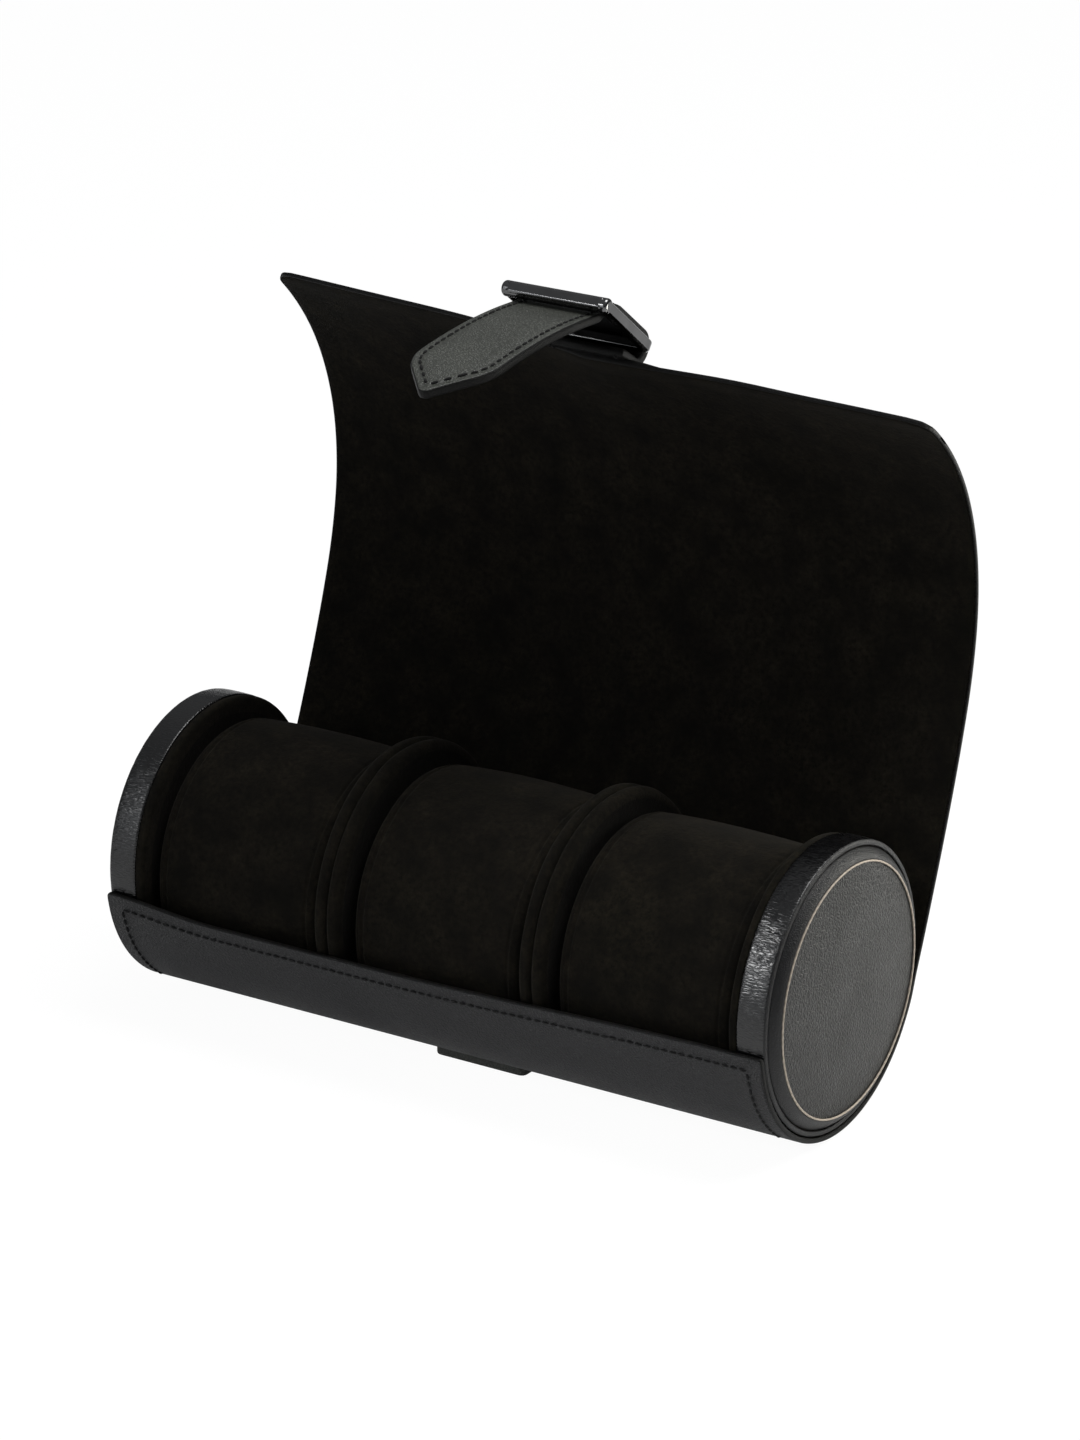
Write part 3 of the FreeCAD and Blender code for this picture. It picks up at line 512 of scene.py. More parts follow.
# Length and turn of each stretch, from the tongue back to the sewn end.
STRETCHES = (
    (5.5, 0.0),
    ((BAR_UNDER + STRAP_THICK) * DIP_TURN, -DIP_TURN),
    (ARCH_RADIUS * ARCH_TURN, ARCH_TURN),
    (BAR_REACH - ARCH_REACH, 0.0),
    (FOLD_RADIUS * FOLD_TURN, FOLD_TURN),
    (8.76, math.radians(-5.79)),
)
FOLD_END = -sum(reach for reach, turn in STRETCHES[:4])
FOLD_START = FOLD_END - STRETCHES[4][0]
STRAP_START = FOLD_START - STRETCHES[5][0]
LIP = -TROUGH_RADIUS * LIP_TURN
# Thickness of the fixed cover, and of the flap.
LINING_THICK = (0.65, 0.9)
SHEET_THICK = (1.75, 2.45)
# Thickness changes over this length to each side of the fold.
FOLD_BLEND = 10
GLUE_GAP = 0.05
# Thinned edges: their width, how far from the fold they begin, and the width kept thick for the strap's end.
SKIVE_WIDTH, SKIVE_START, SEWN_HALF, SEWN_FADE = 9.0, 10, 17, 8


def flap_bend(s):
    """Turn per millimetre of the cover and flap."""
    strip = np.clip((s / FLAP_STRIP).astype(int), 0, len(FLAP_TURNS) - 1)
    return np.where(s < 0, 1 / TROUGH_RADIUS, FLAP_TURNS[strip] / FLAP_STRIP)


def strap_bend(s):
    """Turn per millimetre of the strap, from its sewn end to its point."""
    strip = np.clip((s / TONGUE_STRIP).astype(int), 0, len(TONGUE_TURNS) - 1)
    turn = TONGUE_TURNS[strip] / TONGUE_STRIP
    end = 0.0
    for reach, angle in STRETCHES:
        turn = np.where(s < end, angle / reach, turn)
        end -= reach
    return turn


SHEET = Course(HINGES["flap_bend_1"], FLAP_HEADING, flap_bend, LIP, FLAP_LENGTH)
STRAP = Course(HINGES["strap_bend_2"], TONGUE_HEADING, strap_bend, STRAP_START, TONGUE_LENGTH)


# The lip's sag: widths over which it grows from the left corner and from near the right one, and its fade.
SAG_LEFT, SAG_RIGHT, SAG_STILL, SAG_FADE = 40, 130, 10, 30
# The flap's waves: how far they lift it on the whole, and the heights of the standing and slanting ones.
WAVE_LIFT, STANDING, SLANTING = 0.6, 0.55, 0.4
# Most that the flap bulges outwards between the strap and its sides.
LEFT_BULGE, RIGHT_BULGE = 2.4, 0.9
# Share of the flap's length over which the twist back grows.
TWIST_GROWTH = 0.75


def sheet_place(s, x, h):
    """Place on the cover and flap, with the lip's sag and the flap's slight twist, bulge and waves.

    Only the left corner is twisted, outwards, so that the closed flap lies on the lip.
    """
    sizes = bpy.context.scene.watch_roll_sizes
    sag = sizes.lip_sag / MM * smooth((x + END) / SAG_LEFT) * smooth((END - SAG_STILL - x) / SAG_RIGHT)
    s = s + sag * smooth((LIP + SAG_FADE - s) / SAG_FADE)
    grown = np.clip(s / FLAP_LENGTH, 0, 1)
    standing = STANDING * np.sin(x / 31 + 0.8) * np.sin(s / 23)
    slanting = SLANTING * np.sin(x / 17 - s / 39 + 2.0)
    wave = WAVE_LIFT + standing + slanting
    calm = 1 - smooth((x - END / 3) / (END / 3))
    bulge = np.where(x > 0, RIGHT_BULGE, LEFT_BULGE) * np.sin(math.pi * np.minimum(np.abs(x) / END, 1))
    point = SHEET.point(x, s, h + wave * calm * grown ** 1.2 + bulge * grown ** 3)
    lean = np.minimum(x, 0) / END
    point[..., 1] -= lean * smooth(grown / TWIST_GROWTH) * sizes.twist_back / MM
    point[..., 2] -= lean * grown ** 3 * sizes.twist_up / MM
    return point


# Edge of a sheet: how far in from its end, and how much of half its thickness is rounded off there.
EDGE = ((0.9, 0.0), (0.45, 0.06), (0.2, 0.18), (0.06, 0.38), (0.0, 0.62), (0.0, 1.0))
# Faces beside a point with more than this rounding share take the edge's finish.
TRIM_SHARE = 0.1
# Columns close to a sheet's sides, the first row beside a cut, and the step between other rows.
SIDE_STEPS = np.array([0.7, 1.5, 2.4, 3.6])
CUT_STEP, ROW_STEP = 0.3, 1.9


def columns(half, edge_size, inner):
    """Columns across a sheet from side to side: their places and rounding shares."""
    side = [(half - inset * edge_size, share) for inset, share in EDGE]
    core = np.concatenate([np.linspace(-inner, inner, 37), inner - SIDE_STEPS, -inner + SIDE_STEPS])
    core = np.unique(np.round(core, 4))
    x = np.concatenate([[-p for p, _ in reversed(side)], core, [p for p, _ in side]])
    share = np.concatenate([[f for _, f in reversed(side)], np.zeros(len(core)), [f for _, f in side]])
    return x, share


def run(first, last, end_first, end_last, edge_size, extra=()):
    """Rows along a sheet, with their rounding shares, close together at cuts and rounded at free ends."""
    lead, tail = [(first, 0), (first + CUT_STEP, 0)], [(last - CUT_STEP, 0), (last, 0)]
    if end_first:
        lead = [(first + inset * edge_size, share) for inset, share in reversed(EDGE)]
    if end_last:
        tail = [(last - inset * edge_size, share) for inset, share in EDGE]
    start, stop = lead[-1][0], tail[0][0]
    steps = max(2, int((stop - start) / ROW_STEP))
    middle = [(v, 0) for v in np.linspace(start, stop, steps + 1)[1:-1]]
    middle += [(v, 0) for v in extra if start < v < stop]
    rows = lead + sorted(middle) + tail
    return np.array([v for v, _ in rows]), np.array([f for _, f in rows])


def corner_drop(x, half, radius):
    """How far a rounded corner falls back from the end of a sheet."""
    over = np.clip(np.abs(x) - (half - radius), 0, radius)
    return radius - np.sqrt(np.maximum(radius ** 2 - over ** 2, 0))


def sheet_grid(first, last, half, edge_size, inner, corners, low_end, high_end, extra=()):
    """Grid of a stretch of the cover and flap: s, x and rounding share, with its free ends' corners."""
    at_low, at_high = first <= low_end, last >= high_end
    row, row_share = run(first, last, at_low, at_high, edge_size, extra)
    x, share = columns(half, edge_size, inner)
    s, x = np.meshgrid(row, x, indexing="ij")
    low_radius, high_radius = corners
    if at_high:
        near = smooth((s - high_end + 3 * high_radius) / (3 * high_radius))
        s = s - corner_drop(x, half, high_radius) * near
    if at_low:
        near = smooth((low_end + 3 * low_radius - s) / (3 * low_radius))
        s = s + corner_drop(x, half, low_radius) * near
    return s, x, 1 - (1 - row_share[:, None]) * (1 - share[None, :])


def thick(pair, s):
    """Thickness at s: the fixed cover's, and the flap's from the fold on."""
    return pair[0] + (pair[1] - pair[0]) * smooth((s + FOLD_BLEND) / (2 * FOLD_BLEND))


CUTS = [LIP] + [(k - 0.5) * FLAP_STRIP for k in range(len(FLAP_TURNS) + 1)] + [FLAP_LENGTH]


def carried(piece, number):
    """Let the first and last stretches of the sheet ride on their bodies; the stretches between are only
    baked in place.
    """
    if number == 0:
        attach(piece, "roll")
    elif number > len(FLAP_TURNS):
        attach(piece, f"flap_{len(FLAP_TURNS)}")
    else:
        inset, height = 1.0, 1.0
        ends = np.array([CUTS[number] + inset, CUTS[number + 1] - inset])
        start, end = SHEET.point(0, ends, height) * MM
        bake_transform(piece)


class WATCHROLL_OT_cover(bpy.types.Operator):
    """Make the leather cover and flap and their suede lining, in stretches from strip to strip"""
    bl_idname = "watch_roll.cover"
    bl_label = "Cover and flap"

    def execute(self, context):
        sizes, finish = context.scene.watch_roll_sizes, finishes()
        rim = sizes.rim / MM
        corners = np.array([sizes.lip_corner, sizes.flap_corner]) / MM
        inner = END - rim
        for number, (first, last) in enumerate(zip(CUTS, CUTS[1:])):
            self.leather(number, first, last, rim, inner, corners, sizes.skive / MM, finish)
            self.lining(number, first, last, rim, inner, corners, sizes, finish)
        self.stitches(sizes, finish)
        return {"FINISHED"}

    def leather(self, number, first, last, rim, inner, corners, skive, finish):
        step = 0.02
        turned = [LIP + rim - step, LIP + rim, FLAP_LENGTH - rim, FLAP_LENGTH - rim + step]
        s, x, share = sheet_grid(first, last, END, 1.0, inner, corners, LIP, FLAP_LENGTH, turned)
        inside = np.minimum(np.minimum(END - np.abs(x), FLAP_LENGTH - s), s - LIP)
        thinned = skive * (1 - smooth(inside / SKIVE_WIDTH)) * smooth(s / SKIVE_START)
        whole = thick(SHEET_THICK, s) - thinned * smooth((np.abs(x) - SEWN_HALF) / SEWN_FADE)
        under = np.where(np.abs(x) <= inner + 1e-6, thick(LINING_THICK, s) + GLUE_GAP, 0)
        row = s[:, s.shape[1] // 2][:, None]
        beyond = (row > FLAP_LENGTH - rim + step / 2) | (row < LIP + rim - step / 2)
        under = np.where(beyond, 0, under)
        low = under + (whole / 2 - under) * share
        high = whole - whole / 2 * share
        name = "cover_leather" if number == 0 else f"flap_leather_{LETTERS[number - 1]}"
        piece = slab(name, sheet_place, s, x, low, high, [finish["grain"], finish["edge"]],
                     trim=share > TRIM_SHARE)
        self.declare(piece, number, first, last, 2 * END, "cover_base_leather", "flap_leather_",
                     "grained_leather")

    def lining(self, number, first, last, rim, inner, corners, sizes, finish):
        edge_size, edge_inset, least_corner = 0.4, 0.5, 0.5
        half, low_end, high_end = inner - GLUE_GAP, LIP + rim + GLUE_GAP, FLAP_LENGTH - rim - GLUE_GAP
        s, x, share = sheet_grid(max(first, low_end), min(last, high_end), half, edge_size,
                                 half - edge_inset, np.maximum(corners - rim, least_corner), low_end,
                                 high_end)
        whole = thick(LINING_THICK, s)
        inside = np.minimum(np.minimum(half - np.abs(x), high_end - s), s - low_end)
        hem = 1 - smooth((inside - sizes.hem / MM + 0.8) / 1.6)
        swell = np.where(share > 0, 0, sizes.hem_rise / MM * hem * smooth(inside / 1.5))
        low = whole / 2 * share - swell
        high = whole - whole / 2 * share
        name = "cover_lining" if number == 0 else f"flap_lining_{LETTERS[number - 1]}"
        piece = slab(name, sheet_place, s, x, low, high, [finish["suede"]])
        self.declare(piece, number, first, last, 2 * half, "cover_base_lining", "flap_lining_", "suede")

    def declare(self, piece, number, first, last, width, fixed, strip, slot):
        carried(piece, number)
        if number == 0:
            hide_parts(fixed)
        elif number <= len(FLAP_TURNS):
            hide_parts(f"{strip}{number}")

    def stitches(self, sizes, finish):
        side_inset, rise, corner, proud = 5.5, 34, 1.5, 0.08
        line, side = LIP + sizes.lip_stitch / MM, END - side_inset
        turn = np.linspace(0, math.pi / 2, 7)[1:-1]
        half = [(side, s) for s in np.linspace(line + rise, line + corner, 24)]
        half += [(side - corner + corner * math.cos(a), line + corner - corner * math.sin(a)) for a in turn]
        across = [(x, line) for x in np.linspace(side - corner, corner - side, 60)]
        path = half + across + [(-x, s) for x, s in reversed(half)]
        x, s = np.array(path).T
        points = sheet_place(s, x, thick(SHEET_THICK, s) + proud)
        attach(sewn("lip_stitches", points, finish["thread"]), "roll")


# Stitching

def stitch_tree():
    """Nodes that lay short round stitches along an edge path."""
    tree = bpy.data.node_groups.get("Stitch row")
    if tree:
        return tree
    tree = bpy.data.node_groups.new("Stitch row", "GeometryNodeTree")
    face = tree.interface
    face.new_socket(name="Path", in_out="INPUT", socket_type="NodeSocketGeometry")
    for name in ("Pitch", "Stitch", "Thread"):
        face.new_socket(name=name, in_out="INPUT", socket_type="NodeSocketFloat")
    face.new_socket(name="Finish", in_out="INPUT", socket_type="NodeSocketMaterial")
    face.new_socket(name="Stitches", in_out="OUTPUT", socket_type="NodeSocketGeometry")
    given = put(tree, "NodeGroupInput").outputs
    curve = put(tree, "GeometryNodeMeshToCurve", {"Mesh": given["Path"]})
    spots = put(tree, "GeometryNodeCurveToPoints", {"Curve": curve.outputs[0], "Length": given["Pitch"]},
                mode="LENGTH")
    bead = put(tree, "GeometryNodeMeshUVSphere", {"Segments": 8, "Rings": 5, "Radius": 0.5})
    size = put(tree, "ShaderNodeCombineXYZ",
               {"X": given["Thread"], "Y": given["Thread"], "Z": given["Stitch"]})
    laid = put(tree, "GeometryNodeInstanceOnPoints",
               {"Points": spots.outputs["Points"], "Instance": bead.outputs["Mesh"],
                "Rotation": spots.outputs["Rotation"], "Scale": size.outputs[0]})
    real = put(tree, "GeometryNodeRealizeInstances", {"Geometry": laid.outputs[0]})
    finished = put(tree, "GeometryNodeSetMaterial",
                   {"Geometry": real.outputs[0], "Material": given["Finish"]})
    put(tree, "NodeGroupOutput", {"Stitches": finished.outputs[0]})
    return tree


def sewn(name, points, thread):
    """A row of stitches along points in millimetres, as one plain mesh."""
    sizes = bpy.context.scene.watch_roll_sizes
    path = bpy.data.meshes.new(name + "_path")
    steps = [(i, i + 1) for i in range(len(points) - 1)]
    path.from_pydata([tuple(p) for p in np.asarray(points) * MM], steps, [])
    row = bpy.data.objects.new(name + "_row", path)
    bpy.context.scene.collection.objects.link(row)
    nodes = row.modifiers.new("Stitches", "NODES")
    tree = stitch_tree()
    nodes.node_group = tree
    values = {"Pitch": sizes.stitch_pitch, "Stitch": sizes.stitch_length, "Thread": sizes.thread,
              "Finish": thread}
    for item in tree.interface.items_tree:
        if item.in_out == "INPUT" and item.name in values:
            nodes[item.identifier] = values[item.name]
    graph = bpy.context.evaluated_depsgraph_get()
    mesh = bpy.data.meshes.new_from_object(row.evaluated_get(graph))
    bpy.data.objects.remove(row)
    mesh.shade_smooth()
    mesh.name = name
    piece = bpy.data.objects.new(name, mesh)
    bpy.context.scene.collection.objects.link(piece)
    return piece


def joined(pieces):
    """One piece from several with the same finish."""
    shape = bmesh.new()
    for piece in pieces:
        shape.from_mesh(piece.data)
    shape.to_mesh(pieces[0].data)
    shape.free()
    for piece in pieces[1:]:
        bpy.data.objects.remove(piece)
    return pieces[0]


# End caps

def arc(centre, radius, first, last, steps):
    """Points of an arc in a profile, angles in degrees from the line of the roll."""
    turn = np.radians(np.linspace(first, last, steps))
    return [(centre[0] + radius * math.cos(a), centre[1] + radius * math.sin(a)) for a in turn]


class WATCHROLL_OT_caps(bpy.types.Operator):
    """Make both end caps: creased band, domed end pad, cream piping, and a facing of suede with near-black
    cloth deeper in as painted shade
    """
    bl_idname = "watch_roll.caps"
    bl_label = "End caps"

    def execute(self, context):
        sizes, finish = context.scene.watch_roll_sizes, finishes()
        for sign, side in ((1, "right"), (-1, "left")):
            self.band(sign, side, sizes, finish)
            self.pad(sign, side, finish)
            self.facing(sign, side, finish)
        return {"FINISHED"}

    def band(self, sign, side, sizes, finish):
        depth, inner_round, outer_round, crown, outward = 1.85, 0.7, 1.0, 0.12, 0.35
        start, stop, top, low = RIM_LOW[0], END, CAP_RADIUS, CAP_RADIUS - depth
        profile = [(start, low)] + arc((start + inner_round, top - inner_round), inner_round, 180, 90, 6)
        profile += [(x, top + crown * math.sin(math.pi * (x - start) / (stop - start)))
                    for x in np.linspace(start + 1.2, stop - 1.6, 14)]
        profile += arc((stop - outer_round, top - outer_round), outer_round, 90, 0, 8)
        profile += [(stop, low + 0.25), (stop - 0.3, low)]
        profile = [(sign * x, r) for x, r in profile]
        folds = ripple(7 + sign, 26, 24, 90)

        def swell(shape, along, angle, normal):
            outer = smooth((shape[:, 1] - low - 0.6) / 0.8)
            return sizes.wrinkle / MM * outer[:, None] * folds(along * 1.4, angle)

        piece = lathe(f"cap_{side}_rim", profile, 0, [finish["band"], finish["border"]], ring=True,
                      swell=swell, segments=360)
        second_finish(piece, lambda face: sign * face.normal.x > outward)
        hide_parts(f"cap_{side}_band")
        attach(piece, "roll")

    def pad(self, sign, side, finish):
        low, high = span("cap_right_pad")
        edge = (high[2] - low[2]) / 2
        seat, crown, groove = 122.6, high[0], edge - 3.7
        corner, foot, rise, puff, fall, sink = 0.45, 119.9, 2.5, 0.35, 2.75, 0.35
        border = [(low[0], 0), (low[0], edge - 0.3)]
        border += arc((low[0] + corner, edge - corner), corner, 135, 60, 4)
        border += [(foot + rise * t + puff * math.sin(math.pi * t), edge - 0.25 - fall * t)
                   for t in np.linspace(0, 1, 9)[1:]]
        border += [(seat - 0.15, groove + 0.5), (seat - 0.5, groove)]
        dome = [(seat - sink + (crown - seat + sink) * (1 - (1 - t) ** 2.6), (groove - 0.6) * (1 - t))
                for t in np.linspace(0, 1, 16)]
        profile = [(sign * x, r) for x, r in border + dome]
        sag = ripple(31 + sign, 10, 2, 7)

        def swell(shape, along, angle, normal):
            inner = smooth((groove - 1 - shape[:, 1]) / 8) * smooth(shape[:, 1] / 10)
            outer = (np.abs(shape[:, 0]) > low[0] + 0.1) & (shape[:, 1] > groove + 1)
            return (inner * 0.05 + outer * 0.06)[:, None] * sag(shape[:, 1] * 0.3, angle)

        # The dome takes the lighter pad colour as painted light; the border keeps the cover's own colour.
        piece = lathe(f"cap_{side}_cushion", profile, 0, [finish["pad"], finish["border"]], swell=swell)
        second_finish(piece, lambda face: from_line(face) > groove * MM)
        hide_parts(f"cap_{side}_pad")
        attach(piece, "roll")
        round_cord, set_in = 0.31, 0.05
        bead = [(sign * x, r) for x, r in arc((seat - set_in, groove - set_in), round_cord, 0, 330, 12)]
        cord = lathe(f"cap_{side}_cord", bead, 0, [finish["piping"]], ring=True)
        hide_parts(f"cap_{side}_piping")
        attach(cord, "roll")

    def facing(self, sign, side, finish):
        low, high = span("cap_right_facing")
        rim = (high[2] - low[2]) / 2
        corner, hollow, suede_width, uneven = 1.3, 0.25, 5.0, 0.15
        profile = [(high[0], 0), (high[0], rim - 0.3), (high[0] - 0.3, rim)]
        profile += arc((low[0] + corner, rim - corner), corner, 90, 180, 8)
        profile += [(low[0] + hollow * math.sin(math.pi * t), (rim - 1.6) * (1 - t))
                    for t in np.linspace(0.02, 1, 18)]
        profile = [(sign * x, r) for x, r in profile]
        wave = ripple(51 + sign, 8, 2, 6)

        def swell(shape, along, angle, normal):
            return uneven * (np.abs(shape[:, 0]) < high[0] - 0.5)[:, None] * wave(shape[:, 1] * 0.2, angle)

        piece = lathe(f"cap_{side}_lining", profile, 0, [finish["suede"], finish["shade_cloth"]], swell=swell)
        # Faces deeper than the suede edge take the near-black cloth: painted shade inside the roll.
        second_finish(piece, lambda face: from_line(face) < (rim - suede_width) * MM)
        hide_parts(f"cap_{side}_facing")
        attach(piece, "roll")


class WATCHROLL_OT_dividers(bpy.types.Operator):
    """Make the two dividers, each of two covers with suede edges that meet in a seam and near-black cloth
    faces, painted shade inside the roll
    """
    bl_idname = "watch_roll.dividers"
    bl_label = "Dividers"

    def execute(self, context):
        finish = finishes()
        board_low, board_high = span("divider_right_board")
        board = (board_high[0] - board_low[0]) / 2
        hollow, shoulder, corner, seam, suede_width, uneven = 0.2, 2.75, 2.85, 1.15, 3.0, 0.14
        for number, (side, cover) in enumerate((s, c) for s in ("left", "right") for c in ("a", "b")):
            low, high = span(f"divider_{side}_cover_{cover}")
            rim = (high[2] - low[2]) / 2
            out = 1 if cover == "b" else -1
            middle = high[0] if out < 0 else low[0]
            wide = high[0] - low[0]
            face = [(wide - hollow * math.sin(math.pi * t) ** 2 * (1 - t), (rim - 3.2) * t)
                    for t in np.linspace(0, 1, 14)]
            bead = arc((wide - shoulder, rim - corner), corner, 0, 90, 12)[1:]
            bead += [(wide - shoulder - 1.9 * t, rim - seam * t ** 2.2) for t in np.linspace(0.15, 1, 8)]
            inside = [(0.0, rim - 1.3), (0.0, rim - 2.5), (board - 0.05, rim - 2.9), (board, 0)]
            profile = [(out * x, r) for x, r in face + bead + inside]
            wave = ripple(70 + number, 9, 3, 12)

            def swell(shape, along, angle, normal):
                return uneven * (np.abs(shape[:, 0]) > 0.4)[:, None] * wave(along * 0.4, angle)

            piece = lathe(f"divider_{side}_half_{cover}", profile, middle,
                          [finish["suede"], finish["shade_cloth"]], swell=swell)
            # Faces deeper than the suede edge take the near-black cloth: painted shade in the bays between
            # the cuffs.
            second_finish(piece, lambda face: from_line(face) < (rim - suede_width) * MM)
            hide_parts(f"divider_{side}_cover_{cover}")
            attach(piece, "roll")
        return {"FINISHED"}


# Watch cuffs

# Points of a cuff's outline beside its seam.
SEAM_STEPS = np.array([-1.6, -1.0, -0.6, -0.3, 0, 0.3, 0.6, 1.0])


def cuff_profile(half, mouth, belly, crown, seam):
    """Outline of a cuff from the middle of one end to the middle of the other."""
    end = [(half - 0.5 + 0.35 * t, (mouth - 1.5) * t) for t in np.linspace(0, 1, 12)]
    wide, high = 3.4, 3.6
    shoulder_x, shoulder_r = half - wide, belly - high
    shoulder = [(shoulder_x + wide * math.cos(a), shoulder_r + high * math.sin(a))
                for a in np.radians(np.linspace(-12, 84, 12))]
    along = np.unique(np.concatenate([np.linspace(half - 4.0, 0, 24), half - seam + SEAM_STEPS]))
    body = [(x, belly + crown * (1 - (x / half) ** 2)) for x in along[::-1] if x < shoulder_x]
    side = end + shoulder + body
    return np.array(side + [(-x, r) for x, r in reversed(side) if x > 1e-6])


def pressed_out(profile, cap):
    """Sleeve pressed out by its foam: a cloth simulation under pressure, as a tree to measure it by.

    The cloth starts a little smaller than the outline, and no point of it moves further than cap.
    """
    short, slim, weave, frames = 0.9, 0.8, 4.5, 20
    scene = bpy.context.scene
    start = profile.copy()
    start[:, 0] *= 1 - short / profile[:, 0].max()
    start[:, 1] = np.maximum(start[:, 1] - slim, 0)
    piece = lathe("cuff_filling", start, 0, [], segments=96, height=0)
    remesh = piece.modifiers.new("Even weave", "REMESH")
    remesh.mode = "VOXEL"
    remesh.voxel_size = weave * MM
    graph = bpy.context.evaluated_depsgraph_get()
    piece.data = bpy.data.meshes.new_from_object(piece.evaluated_get(graph))
    piece.modifiers.clear()
    rest = np.array([v.co for v in piece.data.vertices])
    cloth = piece.modifiers.new("Cloth", "CLOTH")
    cloth.settings.quality = 5
    cloth.settings.use_pressure = True
    cloth.settings.uniform_pressure_force = 4.0
    cloth.settings.effector_weights.gravity = 0
    for step in range(1, frames + 1):
        scene.frame_set(step)
    graph = bpy.context.evaluated_depsgraph_get()
    pressed = piece.evaluated_get(graph).to_mesh()
    move = np.array([v.co for v in pressed.vertices]) - rest
    faces = [tuple(p.vertices) for p in pressed.polygons]
    piece.evaluated_get(graph).to_mesh_clear()
    far = np.linalg.norm(move, axis=1)
    move *= np.minimum(1, cap / np.maximum(far, 1e-9))[:, None]
    tree = BVHTree.FromPolygons([Vector(p) for p in rest + move], faces)
    bpy.data.objects.remove(piece)
    scene.frame_set(1)
    return tree


class WATCHROLL_OT_cuffs(bpy.types.Operator):
    """Make the three watch cuffs: foam-filled suede sleeves with a sewn ring at each end"""
    bl_idname = "watch_roll.cuffs"
    bl_label = "Watch cuffs"

    def execute(self, context):
        sizes, finish = context.scene.watch_roll_sizes, finishes()
        low, high = span("cuff_centre_sleeve")
        half, most = (high[0] - low[0]) / 2, (high[2] - low[2]) / 2
        mouth = (span("cuff_centre_end_a")[1][2] - span("cuff_centre_end_a")[0][2]) / 2
        seam = sizes.seam / MM
        crown, uneven, seam_width, pucker_width = 1.2, 0.16, 0.55, 2.6
        profile = cuff_profile(half, mouth, most - crown, crown, seam)
        tree = pressed_out(profile, sizes.cuff_swell)
        for number, side in enumerate(("left", "centre", "right")):
            low, high = span(f"cuff_{side}_sleeve")
            ring = half - seam
            pucker = ripple(90 + number, 14, 30, 110)
            slack = ripple(110 + number, 9, 2, 9)
            shift = 2.1 * number

            def swell(shape, along, angle, normal):
                push = np.zeros((len(shape), len(angle)))
                if tree is not None:
                    push = self.measured(tree, shape, angle + shift, normal)
                off = np.abs(shape[:, 0]) - ring
                near = np.exp(-(off / seam_width) ** 2) * (shape[:, 1] > mouth)
                wide = np.exp(-(off / pucker_width) ** 2) * (shape[:, 1] > mouth)
                out = smooth((shape[:, 1] - mouth) / 3)
                outward = np.where(normal[:, 1] < 0, -1, 1)[:, None]
                dents = -sizes.seam_depth / MM * near[:, None]
                dents = dents + uneven * wide[:, None] * pucker(along * 0.2, angle)
                return push + outward * (dents + uneven * out[:, None] * slack(along * 0.25, angle))

            piece = lathe(f"cuff_{side}", profile, (low[0] + high[0]) / 2, [finish["suede"]], swell=swell,
                          segments=224, crease=80, height=(low[2] + high[2]) / 2)
            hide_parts(*(f"cuff_{side}_{part}" for part in ("sleeve", "foam", "end_a", "end_b")))
            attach(piece, f"cuff_{side}")
        return {"FINISHED"}

    def measured(self, tree, shape, angle, normal):
        """How far the pressed-out sleeve stands from the outline, along the outline's own normals."""
        back, reach, most_in, most_out = 6, 14, -0.9, 0.6
        push = np.zeros((len(shape), len(angle)))
        for j, ((x, r), (nx, nr)) in enumerate(zip(shape, normal)):
            if r < 1:
                continue
            outward = 1 if nr * r + nx * x > 0 else -1
            way = np.array([nx, nr]) * outward
            base = np.array([x, r]) - back * way
            for i, a in enumerate(angle):
                turn = np.array([math.cos(a), math.sin(a)])
                origin = Vector((base[0], base[1] * turn[0], base[1] * turn[1])) * MM
                aim = Vector((way[0], way[1] * turn[0], way[1] * turn[1]))
                hit = tree.ray_cast(origin, aim, reach * MM)
                if hit[3] is not None:
                    push[j, i] = outward * np.clip(hit[3] / MM - back, most_in, most_out)
        return push


# Closing strap

def rounded(centre, radius, turns):
    """Points round a centre, turned from the strap's side towards its tip."""
    return [tuple(centre + radius * np.array([math.sin(a), math.cos(a)])) for a in turns]


def strap_outline():
    """Half width along the strap: straight, a rounded shoulder, and a rounded point."""
    half, point, nose, shoulder = STRAP_HALF, 17.0, 2.6, 16.0
    slope = math.atan2(half, point)
    tip = np.array([TONGUE_LENGTH + nose / math.sin(slope) - nose, 0.0])
    corner = np.array([tip[0] - half / math.tan(slope), half])
    reach = shoulder * math.tan(slope / 2)
    points = [(STRAP_START, half), (corner[0] - reach, half)]
    centre = np.array([corner[0] - reach, half - shoulder])
    points += rounded(centre, shoulder, np.linspace(0, slope, 10)[1:])
    middle = np.array([TONGUE_LENGTH - nose, 0.0])
    flank = rounded(middle, nose, [slope])[0]
    points += [tuple(p) for p in np.linspace(points[-1], flank, 14)[1:-1]]
    points += rounded(middle, nose, np.linspace(slope, math.pi / 2, 12))
    return np.array(points)


OUTLINE = strap_outline()
PAST_FOLD = 3.0
STRAP_CUTS = [STRAP_START, FOLD_END + PAST_FOLD]
STRAP_CUTS += [k * TONGUE_STRIP / 2 for k in (1, 3, 5)] + [TONGUE_LENGTH]
# Each stretch's solid, and its body; only the last stretch rides on its own body.
STRAP_NODES = ("strap_anchor", "strap_1", "strap_2", "strap_3", "strap_4")
STRAP_BODIES = ("flap_9",) + STRAP_NODES[1:]
# Ends of the strap: how far in, and how much of half the thickness is rounded off there.
STRAP_END = ([0, 0.06, 0.2, 0.45, 0.9], [1, 0.5, 0.25, 0.1, 0])


def half_width(s):
    """Half width of the strap at s."""
    return np.interp(s, OUTLINE[:, 0], OUTLINE[:, 1])


